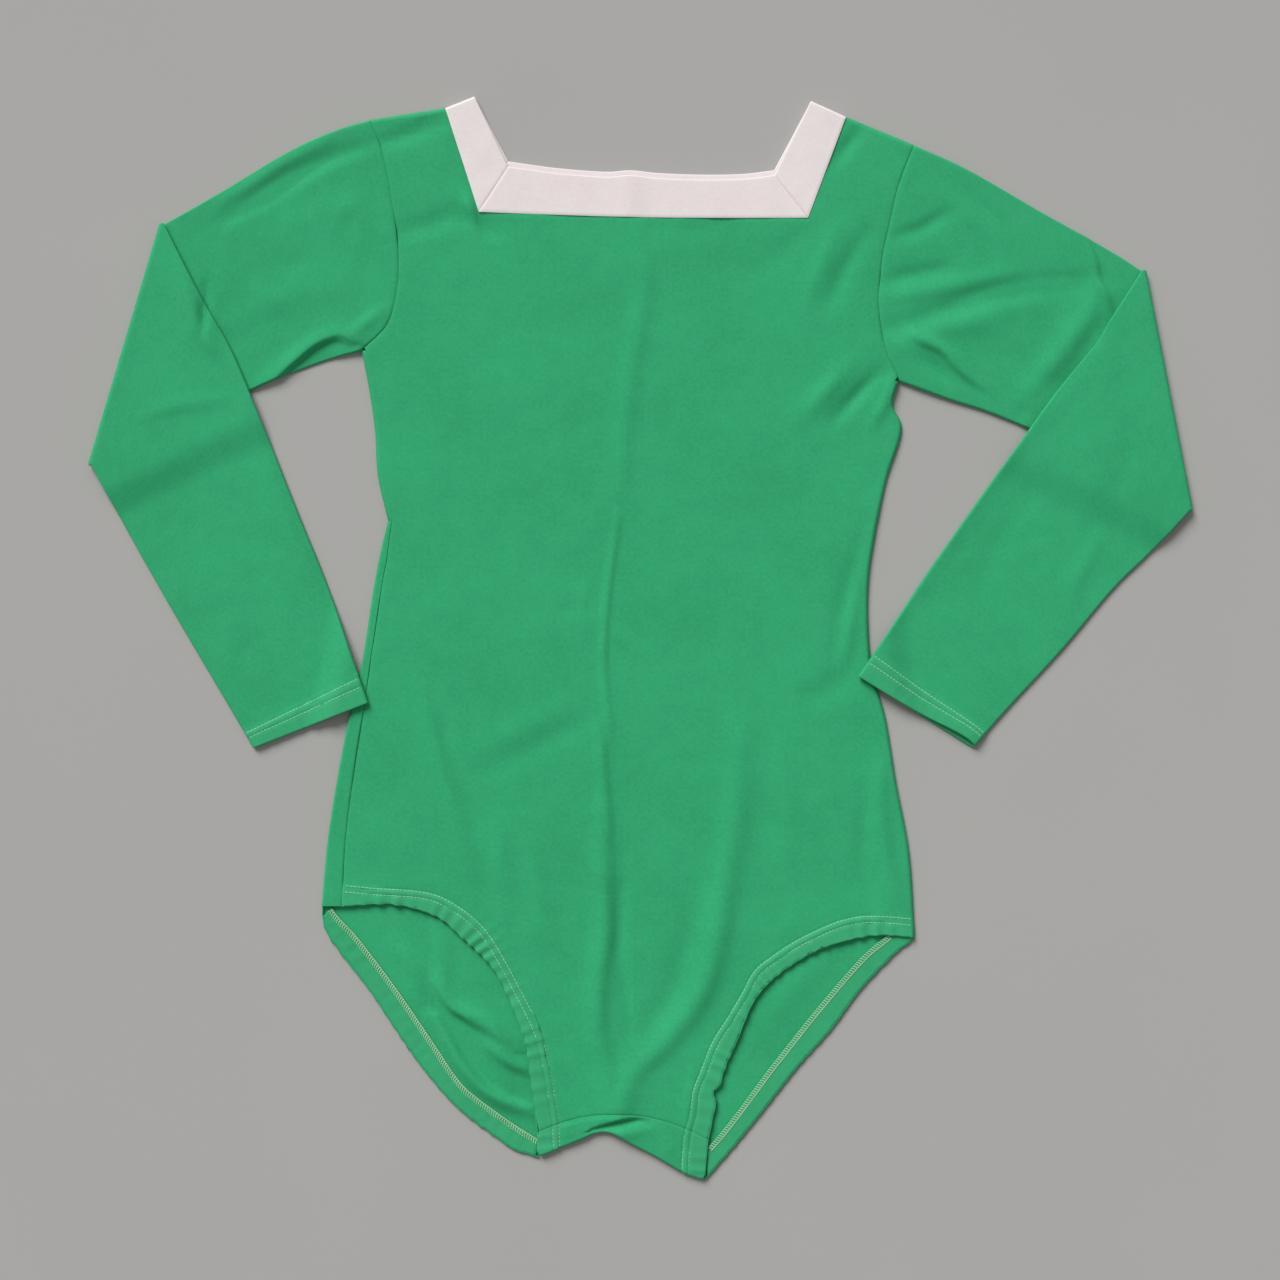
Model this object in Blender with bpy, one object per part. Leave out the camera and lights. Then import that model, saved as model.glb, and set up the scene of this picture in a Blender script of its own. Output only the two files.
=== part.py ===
"""A long-sleeved leotard laid out flat, with a square neck, folded sleeves and elasticated leg openings.

The front lies on the back, both sleeves are flat tubes folded over at the elbow, and the crotch
piece wraps from front to back. Sizes are millimetres until a mesh is made, which is in metres.
+X is the viewer's right, +Y is towards the neck and +Z is up from the table.
"""

import math

import bpy
import numpy as np

METRES = 0.001

# Cloth and levels
CLOTH = 1.2  # wall of one layer of knit
BAND = 1.8  # wall of the neck band, which is the cloth folded double
HEM = 1.0  # wall of the turned-in leg hem and its elastic
SEAM = 0.35  # gap that parts two pieces at a seam
MITRE = 0.7 * SEAM  # how far each band's end lies back from a mitre, measured across the garment
HEM_GAP = 0.4  # gap between a hem and the panel that it is sewn to
HEM_WIDTH = 12.0
BACK_LEVEL = CLOTH / 2  # height of the back's middle surface
FRONT_LEVEL = 3.5  # height of the front's middle surface where nothing lifts it
BAND_BACK_LEVEL = BAND / 2

# Turned edges
ROLL_PROFILE = ((0.0, 0.0), (0.35, 0.5), (1.3, 0.866), (2.6, 1.0))  # distance in, share of the height
ROLL_END = 0.45  # height at which the front's turned-down edge ends
BACK_INSET = 2.3  # how far the back's edge lies inside the front's turned-down edge
CURL = (FRONT_LEVEL - BACK_LEVEL) / 2  # radius over which the back turns up on to the front
CURL_ANGLES = (45, 90, 135)
BACK_NECK_RISE = 4.0  # how far the back band shows above the front band

# Sleeves
SLEEVE_SPREAD = 0.9  # half the distance between the two layers of a flat sleeve
SLEEVE_LEVEL = CLOTH / 2 + SLEEVE_SPREAD
ELBOW_RADIUS = 1.85  # bend of the sleeve's middle where it is folded over
ELBOW_INSET = ELBOW_RADIUS + SLEEVE_SPREAD + CLOTH / 2
FOREARM_LEVEL = SLEEVE_LEVEL + 2 * ELBOW_RADIUS
CUFF_LEVEL = 6.2  # height of the forearm's middle where the cuff lies on the body
UPPER_ARM_RINGS = 5
ELBOW_RINGS = 4
FOREARM_RINGS = 15
LEAVE_ARM = (20, 48)  # distances past the upper arm over which the forearm comes down to the table
MEET_BODY = (8, 30)  # distances from the body over which it comes down from it
BARE_ARM = 20  # how far from the forearm the upper arm's folds have their full height

# Rows that run across the body from the left edge to the right
ARMHOLE_ROWS = (  # name, left x, left y, right x, right y, rise of the middle
    ("shoulder", -184, 353, 186, 336, 0),
    ("sleeve head", -174, 325, 176, 310, 0),
    ("neck", -168, 290, 170, 285, 0),
    ("chest", -165, 261, 164, 256, 0),
    ("bust", -166, 235, 162, 226, 0),
    ("lower armhole", -173, 213, 166, 199, 0),
    ("underarm", -190, 196, 176, 175, 0),
)
UPPER_SIDE_ROWS = (
    ("underarm", -190, 196, 176, 175, 0),
    ("notch", -185, 170, 172, 159, 0),
    ("rib", -181, 142, 178, 142, 0),
    ("midriff", -179, 111, 168, 109, 0),
    ("waist", -172, 80, 161, 77, 0),
)
LOWER_SIDE_ROWS = (
    ("waist", -172, 80, 161, 77, 0),
    ("flank", -178, 54, 156, 45, 2),
    ("high hip", -183, 26, 155, 13, 4),
    ("cuff height", -189, -13, 158, -23, 8),
    ("belly", -198, -52, 167, -54, 12),
    ("hip", -206, -93, 174, -97, 18),
    ("low hip", -213, -138, 183, -145, 25),
    ("leg corner", -217, -182, 187, -203, 32),
)
FRONT_LEG_ROWS = (
    ("leg corner", -203, -182, 184, -203, 32),
    ("leg top", -168, -181, 159, -202, 18),
    ("groin", -139, -189, 131, -208, 9),
    ("upper curve", -121, -204, 111, -217, 2),
    ("curve", -103, -223, 91, -231, 0),
    ("lower curve", -92, -246, 77, -247, 0),
    ("inner leg", -82, -272, 66, -273, 0),
    ("crotch side", -75, -297, 56, -297, 0),
    ("crotch seam", -70, -335, 46, -336, 15),
)
BACK_LEG_ROWS = (
    ("leg corner", -217, -182, 187, -203, 32),
    ("hem corner", -215, -197, 182, -208, 21),
    ("outer leg", -206, -212, 174, -214, 10),
    ("seat", -185, -239, 150, -239, 4),
    ("low seat", -167, -266, 130, -266, 4),
    ("inner seat", -148, -293, 106, -293, 8),
    ("tongue", -123, -321, 84, -321, 16),
    ("toe", -87, -348, 62, -348, 37),
)
SEAM_STRIP = (  # y, how far in from the left edge the back reaches where it turns on to the front
    (80, 2.9),
    (54, 5.5),
    (-13, 5.5),
    (-52, 9.0),
    (-93, 10.5),
    (-182, 13.6),
)
CROTCH_FOLD = (  # x, y, how much the fold is lifted off the table
    (-70, -353, 0.0),
    (-55, -347, 0.2),
    (-41, -341, 0.8),
    (-28, -336, 1.8),
    (-16, -337, 2.2),
    (-5, -344, 1.4),
    (13, -354, 0.4),
    (30, -364, 0.1),
    (44, -369, 0.0),
)
TOES = ((-73, -351.5), (47, -367))  # lowest corners of the back, beside the crotch fold
UNDER_DEPTH = (2, 18)  # how far the crotch piece runs back under the garment, at its ends and middle
FRONT_HEM_STEPS = ((0.0, 0.0), (0.5, 0.0))  # steps of the edge left off at each front hem's two ends
BACK_HEM_STEPS = ((1.0, 0.4), (4.0, 0.4))

# Square neck. The band's outer edge is the panel's edge and its inner edge is the opening.
NECK_OUTER = ((-110, 290), (114, 286))
NECK_INNER = ((-90, 321), (91, 315))
SHOULDER_OUTER = ((-133, 361), (140, 355))
SHOULDER_INNER = ((-113, 369), (116, 366))
BAND_TOP = ((-90, 321), (-57, 316.5), (-24, 314), (-7, 315), (14, 313), (43, 312), (70, 312.5), (91, 315))

# Outlines of the folded sleeves, each from the shoulder towards the cuff
SLEEVES = {
    "left": {
        "over": ((-184, 353), (-208, 346), (-240, 332), (-287, 305), (-327, 283)),
        "under": ((-190, 196), (-220, 188), (-266, 170), (-321, 145), (-376, 118)),
        "inner": ((-327, 283), (-300, 232), (-274, 185), (-234, 87), (-212, 33), (-185, -43)),
        "outer": ((-376, 118), (-351, 74), (-319, 19), (-287, -35), (-264, -74)),
    },
    "right": {
        "over": ((186, 336), (224, 319), (274, 291), (323, 264), (344, 251)),
        "under": ((176, 175), (210, 163), (247, 151), (319, 120), (376, 87)),
        "inner": ((344, 251), (313, 207), (271, 151), (206, 60), (178, 19), (148, -25)),
        "outer": ((376, 87), (350, 60), (322, 33), (287, -8), (249, -49), (227, -74)),
    },
}

# The largest soft folds run as ridges, or troughs where the height is below zero
BODY_FOLDS = (  # start x, start y, end x, end y, half width, height
    (-6, 270, -14, 20, 16, 1.2),
    (-22, -20, -34, -180, 18, 2.0),
    (-34, -180, -18, -290, 15, 3.0),
    (62, -150, 0, -300, 15, 2.4),
    (18, -140, -8, -260, 14, -1.2),
    (-145, -80, -112, -165, 16, 1.6),
    (120, 20, 150, -60, 16, -0.9),
    (118, 190, 150, 150, 13, 2.2),
    (110, 140, 150, 172, 12, -1.1),
    (-110, 265, -132, 200, 18, 1.2),
    (-16, -300, -12, -334, 14, 3.6),
)
SLEEVE_FOLDS = {
    "left": (
        (-200, 325, -290, 290, 14, -0.7),
        (-200, 300, -290, 265, 18, 1.6),
        (-200, 214, -255, 190, 13, 2.4),
        (-300, 210, -225, 20, 15, 1.6),
    ),
    "right": (
        (190, 240, 300, 256, 16, -0.8),
        (190, 215, 280, 190, 20, 1.8),
        (195, 190, 235, 166, 12, 2.2),
        (330, 190, 230, 10, 17, 1.6),
    ),
}

GREEN = (0.03, 0.38, 0.15)
WHITE = (0.78, 0.74, 0.74)
STEPS_PER_ROW = 2
NECK_ROW = 2 * STEPS_PER_ROW  # the neck's row, counted in steps from the shoulder
SHOULDER_COLUMNS = 2
MIDDLE_COLUMNS = 11
NECK_SHARES = (0.1716, 0.8343)  # where the neck's two corners come in the width of the neck row
ROLL_COLUMNS = len(ROLL_PROFILE) - 1
STRAP_STEPS = 4  # from a mitre to the shoulder
FINE_STEPS = 4  # between two named points of a forearm's edge or of the crotch fold
FOLD_END = 0.35  # height of a soft fold at its two ends, as a share of its height at the middle


def clear_scene():
    for obj in list(bpy.data.objects):
        bpy.data.objects.remove(obj, do_unlink=True)


def spline(points, steps=STEPS_PER_ROW):
    """A smooth curve through every point, with this many steps between two of them."""
    points = np.array(points, float)
    padded = np.vstack([2 * points[0] - points[1], points, 2 * points[-1] - points[-2]])
    made = []
    for k in range(1, len(padded) - 2):
        a, b, c, d = padded[k - 1 : k + 3]
        for t in np.arange(steps) / steps:
            cubic = 3 * b - a - 3 * c + d
            made.append((2 * b + (c - a) * t + (2 * a - 5 * b + 4 * c - d) * t**2 + cubic * t**3) / 2)
    return np.array([*made, points[-1]])


def lengths_along(line):
    return np.r_[0, np.cumsum(np.linalg.norm(np.diff(line, axis=0), axis=1))]


def at_shares(line, shares):
    """Points at these shares of a line's length."""
    lengths = lengths_along(line)
    return np.stack([np.interp(shares * lengths[-1], lengths, axis) for axis in line.T], axis=-1)


def offset_line(line, distance):
    """A plan line moved sideways, to the left of its direction."""
    run = np.gradient(line, axis=0)
    normal = np.stack([-run[:, 1], run[:, 0]], axis=1)
    return line + distance * normal / np.linalg.norm(normal, axis=1, keepdims=True)


def trimmed(line, first_steps, last_steps):
    """A line with this many of its steps, or parts of one, left off at its ends."""
    first, last = first_steps, len(line) - 1 - last_steps
    steps = np.r_[first, np.arange(math.ceil(first), math.floor(last) + 1), last]
    return np.stack([np.interp(np.unique(steps), np.arange(len(line)), axis) for axis in line.T], axis=-1)


def ease(t):
    t = np.clip(t, 0.0, 1.0)
    return t * t * (3 - 2 * t)


def fall(distance, span):
    """1 up to the first distance of a span, easing to 0 at the second."""
    return ease((span[1] - distance) / (span[1] - span[0]))


def fold_height(folds, x, y):
    """The sum of the soft folds at a point, each round across and tapering towards its ends."""
    total = 0.0
    for start_x, start_y, end_x, end_y, half_width, height in folds:
        run = np.array([end_x - start_x, end_y - start_y], float)
        offset = np.array([x - start_x, y - start_y])
        nearest = np.clip(offset @ run / (run @ run), 0.0, 1.0)
        away = np.linalg.norm(offset - nearest * run)
        taper = FOLD_END + (1 - FOLD_END) * math.sin(math.pi * nearest)
        total += height * taper * math.exp(-((away / half_width) ** 2))
    return total


def front_height(x, y):
    return FRONT_LEVEL + fold_height(BODY_FOLDS, x, y)


def cloth_piece(name, grid, thickness, colour, used=None, tube=False):
    """A wall of cloth on a grid of middle-surface points. used marks the cells that are cloth."""
    rows, columns = grid.shape[:2]
    if used is None:
        used = np.ones((rows - 1, columns if tube else columns - 1), bool)
    index = {}
    faces = []
    for row, column in zip(*np.nonzero(used)):
        beyond = (column + 1) % columns
        corners = ((row, column), (row, beyond), (row + 1, beyond), (row + 1, column))
        faces.append([index.setdefault(corner, len(index)) for corner in corners])
    mesh = bpy.data.meshes.new(name)
    mesh.from_pydata([tuple(grid[corner] * METRES) for corner in index], [], faces)
    material = bpy.data.materials.new(name + "_cloth")
    material.use_nodes = True
    shader = material.node_tree.nodes["Principled BSDF"]
    shader.inputs["Base Color"].default_value = (*colour, 1.0)
    shader.inputs["Roughness"].default_value = 0.9
    shader.inputs["Metallic"].default_value = 0.0
    mesh.materials.append(material)
    mesh.shade_smooth()
    piece = bpy.data.objects.new(name, mesh)
    bpy.context.scene.collection.objects.link(piece)
    wall = piece.modifiers.new("wall", "SOLIDIFY")
    wall.thickness = thickness * METRES
    wall.offset = 0.0


def raised(plan, height):
    """A plan grid given a height, which is a number or a function of x and y."""
    level = height if callable(height) else lambda x, y: height
    return np.array([[(x, y, level(x, y)) for x, y in row] for row in plan])


def table_rows(table):
    return spline([row[1:] for row in table])


def column_shares():
    left = np.linspace(0, NECK_SHARES[0], SHOULDER_COLUMNS + 1)
    middle = np.linspace(*NECK_SHARES, MIDDLE_COLUMNS + 1)
    right = np.linspace(NECK_SHARES[1], 1, SHOULDER_COLUMNS + 1)
    return np.r_[left, middle[1:], right[1:]]


def body_row(row, left_in=0.0, right_in=0.0):
    """One row of a body panel in plan, with its ends moved in from the outline."""
    left_x, left_y, right_x, right_y, rise = row
    shares = column_shares()
    x = left_x + left_in + (right_x - right_in - left_x - left_in) * shares
    y = left_y + (right_y - left_y) * shares + rise * (1 - (2 * shares - 1) ** 4)
    return np.stack([x, y], axis=1)


def shoulder_row(row, down, neck_rise):
    """A row above the neckline, in two stretches that end on the neck band. down is 1 at the neckline."""
    ends = []
    for shoulder, corner in zip(SHOULDER_OUTER, NECK_OUTER):
        corner = np.array(corner) + (0, neck_rise)
        ends.append(np.array(shoulder) * (1 - down) + corner * down)
    left = np.linspace(row[0:2], ends[0], SHOULDER_COLUMNS + 1)
    middle = np.linspace(ends[0], ends[1], MIDDLE_COLUMNS + 1)
    right = np.linspace(ends[1], row[2:4], SHOULDER_COLUMNS + 1)
    return np.vstack([left, middle[1:], right[1:]])


def upper_rows(top_insets, neck_rise=0.0):
    """Rows from the shoulder to the underarm. The first ones lie at these distances from the shoulder."""
    table = table_rows(ARMHOLE_ROWS)
    shoulder = shoulder_row(table[0], 0.0, neck_rise)
    below = shoulder_row(table[1], 1 / NECK_ROW, neck_rise)
    run = np.linalg.norm(below[0] - shoulder[0])
    rows = [shoulder + (below - shoulder) * inset / run for inset in top_insets]
    rows += [shoulder_row(table[k], k / NECK_ROW, neck_rise) for k in range(1, NECK_ROW + 1)]
    rows += [body_row(row) for row in table[NECK_ROW + 1 :]]
    return rows


def neck_cells(rows, columns, neck_row, first_column):
    """All cells but those of the neck opening."""
    used = np.ones((rows - 1, columns - 1), bool)
    used[:neck_row, first_column : first_column + MIDDLE_COLUMNS] = False
    return used


def strip_inset(y):
    ys, insets = zip(*reversed(SEAM_STRIP))
    return float(np.interp(y, ys, insets))


def with_roll_columns(row):
    """Adds the columns of a turned-down edge beyond both ends of a row."""
    steps = [ROLL_PROFILE[-1][0] - distance for distance, _ in ROLL_PROFILE[:-1]]
    left = [row[0] - (step, 0) for step in steps]
    right = [row[-1] + (step, 0) for step in reversed(steps)]
    return np.vstack([left, row, right])


def make_front():
    """The front. Its shoulders and sides turn down to the table, but for the left side below the waist."""
    roll_in = CLOTH / 2 + ROLL_PROFILE[-1][0]
    upper = upper_rows([distance for distance, _ in ROLL_PROFILE])[:-1]
    sides = [body_row(row, roll_in, roll_in) for row in table_rows(UPPER_SIDE_ROWS)]
    for row in table_rows(LOWER_SIDE_ROWS)[1:]:
        sides.append(body_row(row, strip_inset(row[1]) + SEAM, roll_in))
    legs = [body_row(row) for row in table_rows(FRONT_LEG_ROWS)[1:]]
    underarm = len(upper)
    waist = underarm + STEPS_PER_ROW * (len(UPPER_SIDE_ROWS) - 1)
    corner = underarm + len(sides) - 1
    grid = raised([with_roll_columns(row) for row in [*upper, *sides, *legs]], front_height)
    shares = [share for _, share in ROLL_PROFILE]
    for k in range(ROLL_COLUMNS):
        for turned in (grid[:, k, 2], grid[:, -1 - k, 2], grid[k, :, 2]):
            turned[:] = ROLL_END + (turned - ROLL_END) * shares[k]
    used = neck_cells(*grid.shape[:2], ROLL_COLUMNS + NECK_ROW, ROLL_COLUMNS + SHOULDER_COLUMNS)
    used[:underarm, :ROLL_COLUMNS] = False
    used[:underarm, -ROLL_COLUMNS:] = False
    used[waist:, :ROLL_COLUMNS] = False
    used[corner:, -ROLL_COLUMNS:] = False
    cloth_piece("front", grid, CLOTH, GREEN, used)
    edges = grid[corner:, ROLL_COLUMNS, :2], grid[corner:, -ROLL_COLUMNS - 1, :2]
    return edges, grid[-1, ROLL_COLUMNS:-ROLL_COLUMNS]


def curl_columns(row, outline_x, seam_inset):
    """The strip at the left edge of the back, from its seam on the front round to the table."""
    centre = outline_x + CURL + CLOTH / 2
    seam = outline_x + seam_inset
    y = row[0, 1]
    points = [(seam, y, FRONT_LEVEL), ((seam + centre) / 2, y, FRONT_LEVEL), (centre, y, FRONT_LEVEL)]
    for angle in np.radians(CURL_ANGLES):
        height = BACK_LEVEL + CURL * (1 + math.cos(angle))
        points.append((centre - CURL * math.sin(angle), y, height))
    return np.array(points)


def crotch_fold_at(x):
    xs, ys, lifts = spline(CROTCH_FOLD, FINE_STEPS).T
    return np.interp(x, xs, ys), np.interp(x, xs, lifts)


def under_depth(x):
    share = (x - CROTCH_FOLD[0][0]) / (CROTCH_FOLD[-1][0] - CROTCH_FOLD[0][0])
    shallow, deep = UNDER_DEPTH
    return shallow + (deep - shallow) * (1 - (2 * share - 1) ** 4)


def back_seam_row():
    """The back's lowest row, which meets the crotch piece under the garment."""
    row = TOES[0] + np.outer(column_shares(), np.subtract(TOES[1], TOES[0]))
    inner = row[1:-1, 0]
    row[1:-1, 1] = crotch_fold_at(inner)[0] + CURL + CLOTH / 2 + under_depth(inner) + SEAM
    return row


def make_back():
    """The back, flat on the table. Below the waist its left edge turns up and lies on the front."""
    upper = upper_rows([BACK_INSET], BACK_NECK_RISE)[:-1]
    lower = table_rows(LOWER_SIDE_ROWS)
    curl_in = CURL + CLOTH / 2
    sides = [body_row(row, BACK_INSET, BACK_INSET) for row in table_rows(UPPER_SIDE_ROWS)]
    waist = len(upper) + len(sides)
    step_down = lower[0] + (lower[1] - lower[0]) * SEAM / (lower[0, 1] - lower[1, 1])
    strip = [step_down, *lower[1:]]
    sides += [body_row(row, curl_in, BACK_INSET) for row in strip]
    corner = len(upper) + len(sides) - 1
    legs = [body_row(row) for row in table_rows(BACK_LEG_ROWS)[1:]]
    flat = np.array([*upper, *sides, *legs, back_seam_row()])
    curls = np.zeros((len(flat), 3 + len(CURL_ANGLES), 3))
    for k, row in enumerate(strip):
        curls[waist + k] = curl_columns(flat[waist + k], row[0], strip_inset(row[1]))
    first = curls.shape[1]
    grid = np.concatenate([curls, raised(flat, BACK_LEVEL)], axis=1)
    used = neck_cells(*grid.shape[:2], NECK_ROW, first + SHOULDER_COLUMNS)
    used[:waist, :first] = False
    used[corner:, :first] = False
    cloth_piece("back", grid, CLOTH, GREEN, used)
    return grid[corner:, first, :2], grid[corner:, -1, :2]


def make_gusset(front_seam):
    """The crotch piece: from the front's seam down to the fold and back up under the garment."""
    columns = []
    for top, x in zip(front_seam, [CROTCH_FOLD[0][0], *back_seam_row()[1:-1, 0], CROTCH_FOLD[-1][0]]):
        fold_y, lift = crotch_fold_at(x)
        high, low = top[2] + lift / 2, BACK_LEVEL + lift
        radius = (high - low) / 2
        centre = fold_y + radius + CLOTH / 2
        end = fold_y + CURL + CLOTH / 2 + under_depth(x)
        column = [(top[0], top[1] - SEAM, top[2]), ((top[0] + x) / 2, (top[1] + centre) / 2, high)]
        for angle in np.radians((0, *CURL_ANGLES, 180)):
            column.append((x, centre - radius * math.sin(angle), low + radius * (1 + math.cos(angle))))
        columns.append([*column, (x, end, BACK_LEVEL)])
    cloth_piece("gusset", np.array(columns).transpose(1, 0, 2), CLOTH, GREEN)


def make_leg_hem(name, edge, height, inward):
    """A strip along a leg opening, on the hidden side of its panel. inward is 1 to the edge's left."""
    plan = [offset_line(edge, inward * HEM_WIDTH * share) for share in (0, 0.5, 1)]
    cloth_piece(name, raised(plan, height), HEM, GREEN)


def make_leg_hems(front_edges, back_edges):
    drop = (CLOTH + HEM) / 2 + HEM_GAP
    on_back = CLOTH + HEM_GAP + HEM / 2
    for panel, edges, ends, height in (
        ("front", front_edges, FRONT_HEM_STEPS, lambda x, y: front_height(x, y) - drop),
        ("back", back_edges, BACK_HEM_STEPS, on_back),
    ):
        for side, edge, inward, steps in zip(("left", "right"), edges, (1, -1), ends):
            make_leg_hem(f"leg_hem_{side}_{panel}", trimmed(edge, *steps), height, inward)


def between(start, end, share):
    return np.array(start) * (1 - share) + np.array(end) * share


def make_cross_band(name, rise, height):
    """The band across the front or the back of the neck, mitred at both ends."""
    shares = np.linspace(0, 1, MIDDLE_COLUMNS + 1)
    outer_ends = np.array(NECK_OUTER) + ((2 * MITRE, SEAM), (-2 * MITRE, SEAM))
    inner = at_shares(spline(BAND_TOP), shares)
    inner[[0, -1]] += ((MITRE, 0), (-MITRE, 0))
    outer = np.linspace(*outer_ends, MIDDLE_COLUMNS + 1)
    plan = [between(outer, inner, share) + (0, rise) for share in (0, 0.5, 1)]
    cloth_piece(name, raised(plan, height), BAND, WHITE)


def make_strap(name, side):
    """The band beside the neck, from the front's mitre over the shoulder to the back's mitre."""
    radius = (FRONT_LEVEL - BAND_BACK_LEVEL) / 2
    inward = (1, -1)[side]
    outer_corner = np.array(NECK_OUTER[side]) + (inward * SEAM / 2, 2 * SEAM)
    inner_corner = np.array(NECK_INNER[side]) - (inward * MITRE, 0)
    outer_shoulder = np.array(SHOULDER_OUTER[side]) + (inward * SEAM, 0)
    steps = np.linspace(0, 1, STRAP_STEPS + 1)
    columns = []
    for share in (0, 0.5, 1):
        corner = between(outer_corner, inner_corner, share)
        shoulder = between(outer_shoulder, SHOULDER_INNER[side], share)
        run = (shoulder - corner) / np.linalg.norm(shoulder - corner)
        centre = shoulder - run * (radius + BAND / 2)
        column = [(*between(corner, centre, t), FRONT_LEVEL) for t in steps]
        for angle in np.radians(CURL_ANGLES):
            level = BAND_BACK_LEVEL + radius * (1 + math.cos(angle))
            column.append((*(centre + run * radius * math.sin(angle)), level))
        back_corner = corner + (0, BACK_NECK_RISE)
        column += [(*between(centre, back_corner, t), BAND_BACK_LEVEL) for t in steps]
        columns.append(column)
    cloth_piece(name, np.array(columns).transpose(1, 0, 2), BAND, WHITE)


def body_side(side):
    """The body's outline below the underarm: y in rising order, and x."""
    table = np.array([row[1:] for row in (*UPPER_SIDE_ROWS, *LOWER_SIDE_ROWS[1:])], float)
    outline = table[:, 2 * side : 2 * side + 2][::-1]
    return outline[:, 1], outline[:, 0]


def forearm_level(under, side, x, y):
    """Height of the forearm's middle: over the upper arm, down on the table or up on the body."""
    past_arm = np.interp(x, *under[np.argsort(under[:, 0])].T) - y
    from_body = (-1, 1)[side] * (x - np.interp(y, *body_side(side)))
    on_arm = (FOREARM_LEVEL - SLEEVE_LEVEL) * fall(past_arm, LEAVE_ARM)
    on_body = (CUFF_LEVEL - SLEEVE_LEVEL) * fall(from_body, MEET_BODY)
    return SLEEVE_LEVEL + max(on_arm, on_body)


def sleeve_ring(plan, level, up, spread, lift=0.0):
    """A flattened ring: along one layer, round the edge and back along the other, which up faces from."""
    middle = np.column_stack([plan, np.broadcast_to(level, len(plan))])
    first, last = middle[0] - middle[1], middle[-1] - middle[-2]
    first_edge = middle[0] + spread * first / np.linalg.norm(first)
    last_edge = middle[-1] + spread * last / np.linalg.norm(last)
    near, far = middle + up * spread, middle - up * spread
    shown = near if up[2] > 0 else far
    shown[:, 2] += lift
    return np.vstack([near, last_edge, far[::-1], first_edge])


def make_sleeve(name, side, outlines, folds):
    """A flat tube from the armhole out to the elbow, folded over there and running back to the cuff."""
    outward = (-1, 1)[side]
    armhole = offset_line(table_rows(ARMHOLE_ROWS)[:, 2 * side : 2 * side + 2], outward * SEAM)
    over, under = spline(outlines["over"]), spline(outlines["under"])
    inner, outer = spline(outlines["inner"], FINE_STEPS), spline(outlines["outer"], FINE_STEPS)
    elbow = np.array([over[-1], under[-1]])
    over[0], under[0] = armhole[0], armhole[-1]
    run = (elbow[1] - elbow[0]) / np.linalg.norm(elbow[1] - elbow[0])
    out = -outward * np.array([run[1], -run[0]])
    armhole_shares = lengths_along(armhole) / lengths_along(armhole)[-1]

    def shares_within(line, spread):
        """The armhole's own shares, with the first and last moved in by the tube's rounded edges."""
        inset = (spread + CLOTH / 2) / lengths_along(line)[-1]
        return np.r_[inset, armhole_shares[1:-1], 1 - inset]

    def across(start, end, shares):
        return np.outer(1 - shares, start) + np.outer(shares, end)

    rings = []
    for s in np.linspace(0, 1, UPPER_ARM_RINGS + 1):
        spread = SLEEVE_SPREAD + (CURL - SLEEVE_SPREAD) * (1 - ease(2 * s))
        shares = shares_within(armhole, spread)
        bow = at_shares(armhole, shares) - across(armhole[0], armhole[-1], shares)
        ends = at_shares(over, np.array([s]))[0], at_shares(under, np.array([s]))[0]
        plan = across(*ends, shares) + (1 - s) * bow - out * ELBOW_INSET * s
        clear = [-outward * (x - np.interp(y, *inner[::-1, ::-1].T)) for x, y in plan]
        lift = [fold_height(folds, *point) for point in plan] * ease(np.array(clear) / BARE_ARM)
        rings.append(sleeve_ring(plan, spread + BACK_LEVEL, np.array([0, 0, 1.0]), spread, lift))

    axis = across(*elbow, shares_within(elbow, SLEEVE_SPREAD)) - out * ELBOW_INSET
    for angle in np.radians(np.linspace(0, 180, ELBOW_RINGS + 1)[1:]):
        plan = axis + out * ELBOW_RADIUS * math.sin(angle)
        level = SLEEVE_LEVEL + ELBOW_RADIUS * (1 - math.cos(angle))
        up = np.array([*(-out * math.sin(angle)), math.cos(angle)])
        rings.append(sleeve_ring(plan, level, up, SLEEVE_SPREAD))

    for s in np.linspace(0, 1, FOREARM_RINGS + 1)[1:]:
        ends = np.array([at_shares(inner, np.array([s]))[0], at_shares(outer, np.array([s]))[0]])
        plan = across(*ends, shares_within(ends, SLEEVE_SPREAD)) - out * ELBOW_INSET * (1 - s) ** 3
        level = [forearm_level(under, side, *point) for point in plan]
        lift = [fold_height(folds, *point) for point in plan]
        rings.append(sleeve_ring(plan, level, np.array([0, 0, -1.0]), SLEEVE_SPREAD, lift))
    cloth_piece(name, np.array(rings), CLOTH, GREEN, tube=True)


def main():
    clear_scene()
    front_edges, front_seam = make_front()
    back_edges = make_back()
    make_gusset(front_seam)
    make_leg_hems(front_edges, back_edges)
    make_cross_band("neckband_front", 0, FRONT_LEVEL)
    make_cross_band("neckband_back", BACK_NECK_RISE, BAND_BACK_LEVEL)
    for side, word in enumerate(("left", "right")):
        make_strap(f"neckband_{word}", side)
        make_sleeve(f"sleeve_{word}", side, SLEEVES[word], SLEEVE_FOLDS[word])


main()
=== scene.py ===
"""A long-sleeved leotard in knitted cloth, laid out flat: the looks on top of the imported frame.

Every piece of cloth is a thin shell on the form of its CAD solid, with its own folds, seams and hems.
Sizes are millimetres until a mesh is made, which is in metres. Left and right are the viewer's.
"""

import math

import bpy
import numpy as np
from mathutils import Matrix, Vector
from mathutils.bvhtree import BVHTree


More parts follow.
